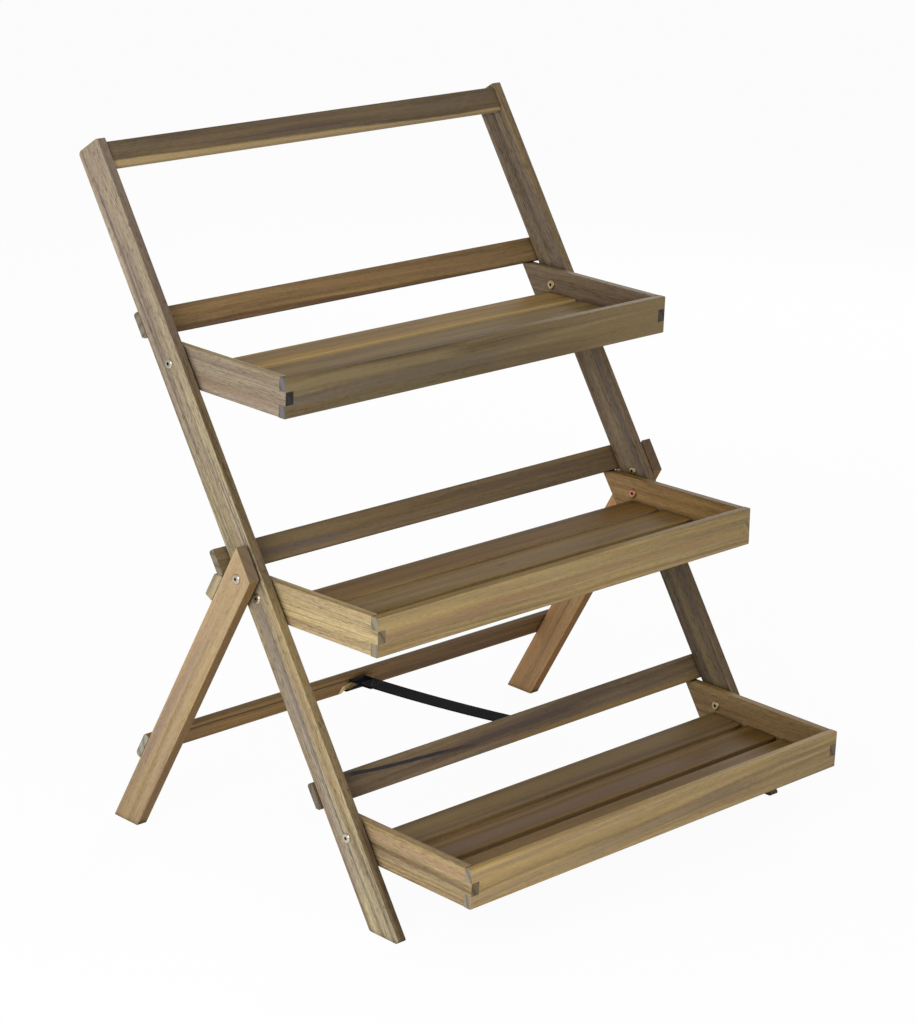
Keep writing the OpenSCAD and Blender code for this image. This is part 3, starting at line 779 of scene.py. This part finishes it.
TRAY_BOARDS = (
    tray_board("top", "side_left", "877A68", "9D8D6B", "2C2A26", far=2.6, streaks=(
        Streak(-12.0, 4.5, "86705E", 0.5),
        Streak(7.0, 1.0, "6A5B50", 0.5, -160, 60),
    )),
    tray_board("top", "side_right", "6D5C48", "7A6C4E", "46403A", far=2.6, streaks=(
        Streak(0.0, WHOLE, "54463A", 0.4, -900, 60, fade=250),
        Streak(-5.0, 2.0, "5A4A45", 0.5, -160, 60),
    )),
    tray_board("top", "front", "6D5F44", "655028", "5B5856", skew=0.006, streaks=(
        Streak(11.0, 5.5, "8A7857", 0.5, -400, -20, -0.01),
        Streak(-3.0, 6.5, "66594F", 0.5, -400, 60),
        Streak(-20.0, 5.0, "54412F", 0.55, 30, 220),
        Streak(4.0, 2.2, "8F7A50", 0.5, 60, 400, 0.02),
        Streak(14.0, 1.6, "5A4C44", 0.5, 100, 400, -0.012),
        Streak(0.0, WHOLE, "937D56", 0.5, -100, 900, fade=500),
    )),
    tray_board("top", "slat_rear", "927644", "96804F", streaks=(
        Streak(-24.0, 5.0, "9A7B48", 0.6),
        Streak(8.0, 6.0, "75644E", 0.5, -300, 120),
    ), fresh=(
        # Pale ochre over the front edge and the top face's last 0.9 mm, laid over the painted
        # shade of the gap.
        Streak(-24.6, 0.9, "B59A66", 0.95, soft=0.2),
    )),
    tray_board("top", "slat_middle", "7C6741", "8B6C3E"),
    tray_board("top", "slat_front", "766752", "6B5637"),
    tray_board("middle", "side_left", "A5936E", "98835A", "72654D", streaks=(
        Streak(8.0, 1.8, "66543F", 0.65, -185, -95, 0.02, 30),
        Streak(-18.5, 1.2, "8A6A50", 0.5),
        Streak(-4.0, 1.0, "82694A", 0.6, -150, 130),
        Streak(3.0, 0.9, "866C4A", 0.6, -60, 200),
    )),
    tray_board("middle", "side_right", "876C44", "7C6233", "8B7C5C", streaks=(
        Streak(0.0, WHOLE, "5C421F", 0.5, -900, 60, fade=250),
        Streak(6.0, 2.5, "805F38", 0.4, -60, 200),
        Streak(-12.0, 1.5, "5A4026", 0.5),
    )),
    tray_board("middle", "front", "A18B5F", "80662F", "756D5B", skew=-0.008, streaks=(
        Streak(-1.0, 6.5, "8F7159", 0.45, -400, 300),
        Streak(-17.0, 2.0, "7C6446", 0.5),
        Streak(15.0, 5.0, "A59166", 0.45, -400, 100),
        Streak(0.0, WHOLE, "7D6747", 0.25, 0, 900, fade=500),
    )),
    tray_board("middle", "slat_rear", "75592A", "937A53", streaks=(
        Streak(-6.0, 4.0, "6E4429", 0.45, -250, 300),
        Streak(14.0, 4.0, "4F3B2A", 0.45),
    )),
    tray_board("middle", "slat_middle", "7A6031", "89734B", streaks=(
        Streak(4.0, 2.0, "33271F", 0.75, -22, 6, 0.0, 12),
        Streak(0.0, 7.0, "6C5B4A", 0.4),
    )),
    tray_board("middle", "slat_front", "705F46", "6B5637"),
    tray_board("bottom", "side_left", "927F5D", "826D49", "665642", streaks=(
        Streak(1.0, 2.0, "594431", 0.6, slope=0.02),
        Streak(13.0, 4.5, "9B7C64", 0.45),
        Streak(-17.0, 1.2, "66523C", 0.55),
        Streak(-11.0, 0.9, "6E583E", 0.5),
    )),
    tray_board("bottom", "side_right", "786341", "7E6438", "6B5F4C", streaks=(
        Streak(3.0, 5.0, "765739", 0.35),
        Streak(-10.0, 1.6, "4C3826", 0.5),
        Streak(0.0, WHOLE, "58401F", 0.4, -900, 60, fade=250),
    )),
    tray_board("bottom", "front", "A38C62", "987F4F", "7B715F", skew=0.02, streaks=(
        Streak(-7.0, 6.0, "8A7863", 0.4, -400, 200),
        Streak(12.0, 3.0, "A88E5E", 0.45, -400, 260),
        Streak(3.0, 1.4, "7C6746", 0.45),
        Streak(0.0, WHOLE, "76603F", 0.3, 0, 900, fade=500),
    )),
    tray_board("bottom", "slat_rear", "6C5736", "79603A", streaks=(
        Streak(6.0, 8.0, "7B663D", 0.45),
        Streak(-16.0, 3.0, "51412E", 0.45),
    )),
    tray_board("bottom", "slat_middle", "61471B", "604927", streaks=(
        Streak(-4.0, 9.0, "645246", 0.5, -320, 200),
        Streak(14.0, 3.0, "7A6238", 0.4),
    )),
    tray_board("bottom", "slat_front", "674E24", "6B5637"),
)

CLEATS = tuple(
    tray_board(tray, f"cleat_{side}", "7B6A4F", "7B6A4F")
    for tray in TRAYS
    for side in ("left", "right")
)


@dataclass
class Woodwork:
    """The boards of one sub-assembly."""

    name: str
    boards: tuple[Board, ...]

    def build(self) -> None:
        """Dress every board."""
        for board in self.boards:
            dress(board.node, board.material())
            LOG.info("%s: %s dressed in its own wood", self.name, board.node)


# ---------------------------------------------------------------- metal


@dataclass(frozen=True)
class Metal:
    """Turned and plated steel: a soft round glint, and painted shade in sockets and slots.

    Reach, how far the painted shade spreads from a corner, and the depth of the scratches are
    in m. Between the two heights of reddish, in m, the plating has gone coppery; by default
    they are above the stand.
    """

    name: str
    colour: str
    tint: str
    rough: float
    reddish: tuple[float, float] = (9.0, 9.1)
    copper: str = "C98A72"
    # Colour of the painted shade in sockets and slots, and how much rougher they are.
    socket_shade: str = "2E2721"
    rough_in_hollows: float = 0.4
    rough_patches: tuple[float, float] = (-0.06, 0.1)
    relief: float = 0.1
    depth: float = 0.00005
    reach: float = 0.004

    def material(self) -> bpy.types.Material:
        """Build the metal.

        Returns:
            The material.
        """
        material, tree, shader = new_material(self.name)
        where = add_node(tree, COORD, {}).outputs["Object"]
        # Plating varies over about 4 mm; scratches are about 0.3 mm apart.
        feeds = {"Vector": where, "Scale": 250.0, "Detail": 2.0}
        patch = add_node(tree, NOISE, feeds).outputs["Fac"]
        feeds = {"Vector": where, "Scale": 3000.0, "Detail": 1.0}
        fine = add_node(tree, NOISE, feeds).outputs["Fac"]
        height = add_node(tree, SPLIT, {0: where}).outputs[2]
        middle, half = sum(self.reddish) / 2, (self.reddish[1] - self.reddish[0]) / 2
        feeds = {0: height, 1: middle, 2: half}
        red = add_node(tree, MATH, feeds, operation="COMPARE").outputs[0]
        # Painted shade: ambient occlusion darkens sockets and slots, which are also made rougher.
        hollow = add_node(tree, HOLLOW, {"Distance": self.reach}, samples=6).outputs["AO"]
        feeds = {"Value": hollow, "From Min": 0.35, "From Max": 0.8, "To Min": 1.0, "To Max": 0.0}
        dark = add_node(tree, RANGE, feeds, **SMOOTH).outputs[0]
        colour: Socket | Tint = srgb(self.colour)
        for share, over in ((patch, self.tint), (red, self.copper), (dark, self.socket_shade)):
            feeds = {SHARE: share, UNDER: colour, OVER: srgb(over)}
            colour = add_node(tree, MIX, feeds, **BLEND).outputs[MIXED]
        least, most = (self.rough + change for change in self.rough_patches)
        feeds = {"Value": patch, "To Min": least, "To Max": most}
        rough = add_node(tree, RANGE, feeds).outputs[0]
        feeds = {0: dark, 1: self.rough_in_hollows, 2: rough}
        rough = add_node(tree, MATH, feeds, operation="MULTIPLY_ADD").outputs[0]
        feeds = {"Height": fine, "Strength": self.relief, "Distance": self.depth}
        bump = add_node(tree, BUMP, feeds)
        feeds = {"Base Color": colour, "Roughness": rough, "Normal": bump.outputs[0]}
        feed(tree, shader, feeds | {"Metallic": 1.0})
        return material


@dataclass
class Fasteners:
    """Bolts, sleeve nuts, washers and screws."""

    zinc: Metal = Metal("bright zinc plated steel", "E3DDCE", "C6B89C", 0.24)
    brassed: Metal = Metal("brassed steel", "DCCBA2", "BBA274", 0.27, (0.33, 0.36))

    def build(self) -> None:
        """Dress every fastener."""
        zinc, brassed = self.zinc.material(), self.brassed.material()
        for name in frame["nodes"]:
            if "nuts" in name:
                dress(name, brassed)
                LOG.info("%s brassed", name)
            elif any(word in name for word in ("screw", "bolt", "spacer", "washer")):
                dress(name, zinc)
                LOG.info("%s zinc plated", name)


# ---------------------------------------------------------------- webbing


@dataclass(frozen=True)
class Weave:
    """Black polyester webbing: rows of plump yarns, each covered by every second cross yarn.

    The eye gets a matt black band with a fine basket relief that catches a little light; the
    tops of the yarns carry a painted highlight. Yarn and pick are the spacings across and along
    it, in mm, and depth is the relief's, in m.
    """

    colour: str = "060608"
    yarn_top_highlight: str = "101012"
    # Yarns are 0.8 mm wide; drawn 1.5 mm wide so that they show.
    yarn: float = 1.5
    pick: float = 2.6
    fuzz: float = 0.25
    rough: tuple[float, float] = (0.62, 0.9)
    relief: float = 0.7
    depth: float = 0.0003
    sheen: float = 0.06

    def material(self) -> bpy.types.Material:
        """Build the weave from the strap's UV map, which is in mm.

        Returns:
            The material.
        """
        material, tree, shader = new_material("black woven polyester webbing")
        uv = add_node(tree, COORD, {}).outputs["UV"]
        place = add_node(tree, SPLIT, {0: uv}).outputs
        across = add_node(tree, MATH, {0: place[1], 1: self.yarn}, operation="DIVIDE").outputs[0]
        row = add_node(tree, MATH, {0: across}, operation="FLOOR").outputs[0]
        along = add_node(tree, MATH, {0: place[0], 1: self.pick}, operation="DIVIDE").outputs[0]
        # Every second row is shifted by half a yarn.
        feeds = {0: row, 1: 0.5, 2: along}
        along = add_node(tree, MATH, feeds, operation="MULTIPLY_ADD").outputs[0]
        domes = []
        for turns in (across, along):
            angle = add_node(tree, MATH, {0: turns, 1: math.pi}, operation="MULTIPLY").outputs[0]
            wave = add_node(tree, MATH, {0: angle}, operation="SINE").outputs[0]
            domes.append(add_node(tree, MATH, {0: wave}, operation="ABSOLUTE").outputs[0])
        dome = add_node(tree, MATH, {0: domes[0], 1: domes[1]}, operation="MULTIPLY").outputs[0]
        dome = add_node(tree, MATH, {0: dome, 1: 0.5}, operation="POWER").outputs[0]
        hairs = add_node(tree, NOISE, {"Vector": uv, "Scale": 3.0, "Detail": 2.0}).outputs["Fac"]
        # Painted highlight: the tops of the yarns are painted lighter.
        feeds = {SHARE: dome, UNDER: srgb(self.colour), OVER: srgb(self.yarn_top_highlight)}
        colour = add_node(tree, MIX, feeds, **BLEND).outputs[MIXED]
        feeds = {0: hairs, 1: self.fuzz, 2: dome}
        height = add_node(tree, MATH, feeds, operation="MULTIPLY_ADD").outputs[0]
        feeds = {"Height": height, "Strength": self.relief, "Distance": self.depth}
        bump = add_node(tree, BUMP, feeds)
        feeds = {"Value": hairs, "To Min": self.rough[0], "To Max": self.rough[1]}
        rough = add_node(tree, RANGE, feeds).outputs[0]
        feeds = {"Base Color": colour, "Roughness": rough, "Normal": bump.outputs[0]}
        feed(tree, shader, feeds | {"Specular IOR Level": self.sheen})
        return material


@dataclass(frozen=True)
class Thread:
    """Black bonded sewing thread: tight round stitches a little glossier than the webbing.

    The radius is in m.
    """

    colour: str = "1B1B1F"
    worn: str = "303036"
    radius: float = 0.00032
    rough: float = 0.5

    def material(self) -> bpy.types.Material:
        """Build the thread, with its twist drawn as fine bands.

        Returns:
            The material.
        """
        material, tree, shader = new_material("black sewing thread")
        where = add_node(tree, COORD, {}).outputs["Object"]
        feeds = {"Vector": where, "Scale": 2500.0, "Detail": 1.0}
        twist = add_node(tree, NOISE, feeds).outputs["Fac"]
        feeds = {SHARE: twist, UNDER: srgb(self.colour), OVER: srgb(self.worn)}
        colour = add_node(tree, MIX, feeds, **BLEND).outputs[MIXED]
        bump = add_node(tree, BUMP, {"Height": twist, "Strength": 0.3, "Distance": 0.0001})
        feeds = {"Base Color": colour, "Roughness": self.rough, "Normal": bump.outputs[0]}
        feed(tree, shader, feeds)
        return material


@dataclass
class Webbing:
    """Webbing strap between the bottom crossbar and the rear bar.

    It is screwed flat to the rear of the crossbar, runs back through the slot, round the bar
    and under it, and is sewn to itself in front of the bar. Sizes are in mm. Places by the
    rails are up them and behind their rear edges, and places by the legs are behind their
    centre lines and up from their pivot.
    """

    width: float = 30.0
    thick: float = 1.5
    # Where the legs' pivot is: up the rails, and in front of their rear edges.
    pivot_up: float = 435.35
    pivot_in: float = 21.5
    # Ends of the flat part on the crossbar, up the rails, and how far behind them it lies.
    crossbar: tuple[float, float] = (156.8, 174.8)
    crossbar_face: float = 9.9
    # Where the free part starts, past the end of the flat part.
    lift: tuple[float, float] = (1.8, 2.2)
    slot: tuple[float, float] = (27.1, -315.3)
    # Turns round the rear bar, from the slot: (behind, up).
    turns: tuple[tuple[float, float], ...] = (
        (0.9, -0.9), (0.9, -15.1), (0.0, -16.0), (-4.8, -16.0), (-7.2, -14.2)
    )
    sag: float = 2.6
    # How far from the slot the seam begins, how long it is, and how deep its lower layer lies.
    loop: float = 22.0
    seam: float = 24.0
    layer: float = 1.59
    rounding: float = 1.2
    step: float = 1.0
    columns: int = 20
    # Angles of the points that round the band's edges.
    edge: tuple[float, ...] = (0.8, 1.57, 2.34)
    stitch: float = 3.2
    hem: float = 4.0
    weave: Weave = Weave()
    thread: Thread = Thread()

    def pivot(self) -> Vector:
        """Read where the legs' pivot is, as (y, z) in mm."""
        joint = next(j for j in frame["joints"] if j["name"] == "legs_fold")
        return Vector(joint["pos_m"][1:]) / MM

    def rail_point(self, up: float, behind: float) -> Vector:
        """Place a point by the rails.

        Args:
            up: Distance up the rails.
            behind: Distance behind their rear edges.

        Returns:
            The point as (y, z).
        """
        rise, back = Vector(Run.RAIL.value[0][1:]), Vector(Run.RAIL.value[1][1:])
        return self.pivot() + back * (behind + self.pivot_in) + rise * (up - self.pivot_up)

    def leg_point(self, behind: float, up: float) -> Vector:
        """Place a point by the legs.

        Args:
            behind: Distance behind the legs' centre lines.
            up: Distance up the legs from their pivot.

        Returns:
            The point as (y, z).
        """
        drop, back = Vector(Run.LEG.value[0][1:]), Vector(Run.LEG.value[1][1:])
        return self.pivot() + back * behind - drop * up

    def span(self, share: float) -> Vector:
        """Place a point on the slightly sagging free part.

        Args:
            share: 0 at the crossbar, 1 at the slot.

        Returns:
            The point as (y, z).
        """
        up, behind = self.lift
        low = self.rail_point(self.crossbar[1] + up, self.crossbar_face + behind)
        high = self.leg_point(*self.slot)
        return low.lerp(high, share) - Vector((0, 4 * self.sag * share * (1 - share)))

    def seam_shares(self) -> tuple[float, float]:
        """Shares of the free part where the sewn seam begins and ends."""
        length = (self.span(1) - self.span(0)).length
        return 1 - self.loop / length, 1 - (self.loop + self.seam) / length

    def route(self) -> list[Vector]:
        """Lay out the centre line, with every turn rounded.

        Returns:
            Points as (y, z), close together.
        """
        behind, up = self.slot
        near, far = self.seam_shares()
        under = Vector((0, self.layer))
        corners = [self.rail_point(s, self.crossbar_face) for s in self.crossbar]
        corners += [self.span(k / 12) for k in range(13)]
        corners += [self.leg_point(behind + back, up + rise) for back, rise in self.turns]
        corners += [self.span(near + (far - near) * k / 2) - under for k in range(3)]
        points = [corners[0]]
        for before, here, after in zip(corners, corners[1:], corners[2:]):
            reach = min(self.rounding, (here - before).length / 2, (after - here).length / 2)
            first = here + (before - here).normalized() * reach
            last = here + (after - here).normalized() * reach
            for k in range(5):
                share = k / 4
                points.append(first.lerp(here, share).lerp(here.lerp(last, share), share))
        return points + [corners[-1]]

    def profile(self) -> list[tuple[Vector, float]]:
        """Go once round the section of the band, whose edges are rounded.

        Returns:
            Points as (across, up) and their distance along the section.
        """
        flat, radius = self.width / 2 - self.thick / 2, self.thick / 2
        places = [-flat + 2 * flat * k / self.columns for k in range(self.columns + 1)]
        half = [Vector((place, radius)) for place in places]
        half += [Vector((flat + radius * math.sin(a), radius * math.cos(a))) for a in self.edge]
        ring = half + [-point for point in half]
        ring.append(ring[0].copy())
        run, section = 0.0, []
        for before, here in zip([ring[0]] + ring, ring):
            run += (here - before).length
            section.append((here, run))
        return section

    def even(self, route: list[Vector]) -> list[Vector]:
        """Space points evenly along a centre line.

        Args:
            route: Points of the line.

        Returns:
            Points one step apart.
        """
        marks = [0.0]
        for before, here in zip(route, route[1:]):
            marks.append(marks[-1] + (here - before).length)
        count = round(marks[-1] / self.step)
        points, k = [], 0
        for n in range(count + 1):
            at = marks[-1] * n / count
            while k < len(route) - 2 and marks[k + 1] < at:
                k += 1
            share = (at - marks[k]) / max(marks[k + 1] - marks[k], 1e-6)
            points.append(route[k].lerp(route[k + 1], min(share, 1.0)))
        return points

    def band(self) -> bpy.types.Object:
        """Bend a grid round the section and along the centre line.

        Returns:
            The strap.
        """
        line, section = self.even(self.route()), self.profile()
        rows, columns = len(line) - 1, len(section) - 1
        shape = bmesh.new()
        bmesh.ops.create_grid(shape, x_segments=rows, y_segments=columns, size=0.5)
        layer = shape.loops.layers.uv.verify()
        for face in shape.faces:
            for corner in face.loops:
                row, column = self.cell(corner.vert.co, rows, columns)
                corner[layer].uv = (row * self.step, section[column][1])
        for vert in shape.verts:
            row, column = self.cell(vert.co, rows, columns)
            ahead = (line[min(row + 1, rows)] - line[max(row - 1, 0)]).normalized()
            across, up = section[column][0]
            side = Vector((-ahead.y, ahead.x)) * up
            vert.co = Vector((across, line[row].x + side.x, line[row].y + side.y)) * MM
        bmesh.ops.remove_doubles(shape, verts=shape.verts, dist=1e-7)
        bmesh.ops.holes_fill(shape, edges=shape.edges, sides=0)
        bmesh.ops.recalc_face_normals(shape, faces=shape.faces)
        return self.finished(shape, "strap_webbing", self.weave.material())

    @staticmethod
    def cell(place: Vector, rows: int, columns: int) -> tuple[int, int]:
        """Row and column of a vertex of a flat unit grid."""
        return round((place.x + 0.5) * rows), round((place.y + 0.5) * columns)

    def stitches(self) -> bpy.types.Object:
        """Sew the seam with a box and a cross, on top and underneath.

        Returns:
            All stitches as one piece.
        """
        near, far = self.seam_shares()
        ends = [near + (far - near) * k for k in (0.12, 0.88)]
        half = self.width / 2 - self.hem
        knots = [(ends[0], -half), (ends[0], half), (ends[1], half), (ends[1], -half)]
        lines = [(knots[k], knots[(k + 1) % 4]) for k in range(4)]
        lines += [(knots[0], knots[2]), (knots[1], knots[3])]
        shape = bmesh.new()
        for first, last in lines:
            for lift in (self.thick / 2, -self.layer - self.thick / 2):
                a, b = self.knot(*first, lift), self.knot(*last, lift)
                count = round((b - a).length / (self.stitch * MM))
                for k in range(count):
                    self.sew(shape, a.lerp(b, (k + 0.1) / count), a.lerp(b, (k + 0.9) / count))
        return self.finished(shape, "strap_stitches", self.thread.material())

    def knot(self, share: float, across: float, lift: float) -> Vector:
        """Point on the seam in metres, from its share, its place across and its height."""
        line = self.span(share)
        return Vector((across, line.x, line.y + lift)) * MM

    def sew(self, shape: bmesh.types.BMesh, a: Vector, b: Vector) -> None:
        """Add one stitch: a thin rounded thread from a to b.

        Args:
            shape: Mesh that gets the stitch.
            a: First end.
            b: Last end.
        """
        turn = (b - a).to_track_quat("Z", "Y").to_matrix().to_4x4()
        radius = self.thread.radius
        stretch = Matrix.Diagonal((radius, radius, (b - a).length / 2, 1))
        place = Matrix.Translation((a + b) / 2) @ turn @ stretch
        bmesh.ops.create_uvsphere(shape, u_segments=8, v_segments=8, radius=1.0, matrix=place)

    @staticmethod
    def finished(
        shape: bmesh.types.BMesh, name: str, material: bpy.types.Material
    ) -> bpy.types.Object:
        """Make a smooth object from a mesh under work.

        Args:
            shape: The mesh under work, which is freed.
            name: Name of the object.
            material: Its finish.

        Returns:
            The object, in the scene.
        """
        for face in shape.faces:
            face.smooth = True
        mesh = bpy.data.meshes.new(name)
        shape.to_mesh(mesh)
        shape.free()
        mesh.materials.append(material)
        piece = bpy.data.objects.new(name, mesh)
        bpy.context.scene.collection.objects.link(piece)
        return piece

    def build(self) -> None:
        """Model the strap and its stitches, and hide the imported strap."""
        strap, stitches = self.band(), self.stitches()
        for piece in (strap, stitches):
            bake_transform(piece)
            LOG.info("%s made, %d faces", piece.name, len(piece.data.polygons))
        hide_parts("strap")


# ---------------------------------------------------------------- camera, floor and light


@dataclass
class Studio:
    """Camera at the photograph's angle, pale floor and soft light.

    The focal length is in pixels of a picture of the given height. Surround is how bright the
    light from all around is, and paper how much of the floor the camera sees as plain white.
    """

    place: tuple[float, float, float] = (-2.5695, -2.5295, 1.5704)
    azimuth: float = math.radians(45.194)
    elevation: float = math.radians(18.122)
    roll: float = math.radians(2.221)
    focal_px: float = 3063.86
    height_px: float = 1024.0
    sensor: float = 24.0
    surround: float = 0.55
    paper: float = 0.95
    floor_half: float = 14.0
    aim: tuple[float, float, float] = (0.0, 0.0, 0.4)

    def camera(self) -> None:
        """Place the camera."""
        az, el, roll = self.azimuth, self.elevation, self.roll
        ahead = Vector((math.sin(az) * math.cos(el), math.cos(az) * math.cos(el), -math.sin(el)))
        right = Vector((math.cos(az), -math.sin(az), 0))
        up = right.cross(ahead)
        across = right * math.cos(roll) + up * math.sin(roll)
        above = up * math.cos(roll) - right * math.sin(roll)
        data = bpy.data.cameras.new("camera")
        data.sensor_fit = "VERTICAL"
        data.sensor_height = self.sensor
        data.lens = self.focal_px * self.sensor / self.height_px
        data.clip_end = 50
        eye = bpy.data.objects.new("camera", data)
        turn = Matrix((across, above, -ahead)).transposed().to_4x4()
        eye.matrix_world = Matrix.Translation(self.place) @ turn
        bpy.context.scene.collection.objects.link(eye)
        bpy.context.scene.camera = eye

    def floor(self) -> None:
        """Lay a pale floor that stays white around the stand and keeps its shadow."""
        mesh = bpy.data.meshes.new("floor")
        shape = bmesh.new()
        bmesh.ops.create_grid(shape, x_segments=1, y_segments=1, size=self.floor_half)
        shape.to_mesh(mesh)
        shape.free()
        floor = bpy.data.objects.new("floor", mesh)
        bpy.context.scene.collection.objects.link(floor)
        material, tree, shader = new_material("matt white paper floor")
        feeds = {"Base Color": srgb("E6E6E6"), "Roughness": 0.9, "Specular IOR Level": 0.0}
        feed(tree, shader, feeds)
        path = add_node(tree, "ShaderNodeLightPath", {})
        glow = add_node(tree, "ShaderNodeEmission", {"Color": WHITE, "Strength": 1.0})
        feeds = {0: self.paper, 1: shader.outputs[0], 2: glow.outputs[0]}
        part = add_node(tree, "ShaderNodeMixShader", feeds)
        feeds = {0: path.outputs["Is Camera Ray"], 1: shader.outputs[0], 2: part.outputs[0]}
        mixed = add_node(tree, "ShaderNodeMixShader", feeds)
        tree.links.new(mixed.outputs[0], tree.nodes["Material Output"].inputs["Surface"])
        mesh.materials.append(material)

    def world(self) -> None:
        """Set an even surrounding light that the camera sees as white."""
        world = bpy.data.worlds.new("studio")
        world.use_nodes = True
        bpy.context.scene.world = world
        tree = world.node_tree
        light = tree.nodes["Background"]
        feed(tree, light, {"Color": WHITE, "Strength": self.surround})
        shown = add_node(tree, "ShaderNodeBackground", {"Color": WHITE, "Strength": 1.0})
        path = add_node(tree, "ShaderNodeLightPath", {})
        feeds = {0: path.outputs["Is Camera Ray"], 1: light.outputs[0], 2: shown.outputs[0]}
        mixed = add_node(tree, "ShaderNodeMixShader", feeds)
        tree.links.new(mixed.outputs[0], tree.nodes["World Output"].inputs["Surface"])

    def lamps(self) -> None:
        """Hang two soft lamps: the main one near the left, a weak one to the right behind."""
        for name, spot, size, power in (
            ("key lamp", (-1.9, -0.9, 1.15), 1.4, 42.0),
            ("fill lamp", (2.6, 1.4, 1.6), 2.0, 26.0),
        ):
            data = bpy.data.lights.new(name, "AREA")
            data.shape = "DISK"
            data.size = size
            data.energy = power
            lamp = bpy.data.objects.new(name, data)
            lamp.visible_camera = False
            lamp.location = spot
            ahead = Vector(self.aim) - Vector(spot)
            lamp.rotation_euler = ahead.to_track_quat("-Z", "Y").to_euler()
            bpy.context.scene.collection.objects.link(lamp)

    def build(self) -> None:
        """Set the studio up."""
        self.camera()
        self.floor()
        self.world()
        self.lamps()
        bpy.context.scene.view_settings.view_transform = "Standard"
        LOG.info("studio ready")


def main() -> None:
    """Build the studio and dress the stand, one sub-assembly after another."""
    logging.basicConfig(level=logging.INFO, format="%(name)s: %(message)s")
    for part in (
        Studio(),
        Woodwork("front frame", FRONT_BOARDS),
        Woodwork("rear frame", REAR_BOARDS),
        Woodwork("trays", TRAY_BOARDS + CLEATS),
        Fasteners(),
        Webbing(),
    ):
        part.build()


if __name__ == "__main__":
    main()
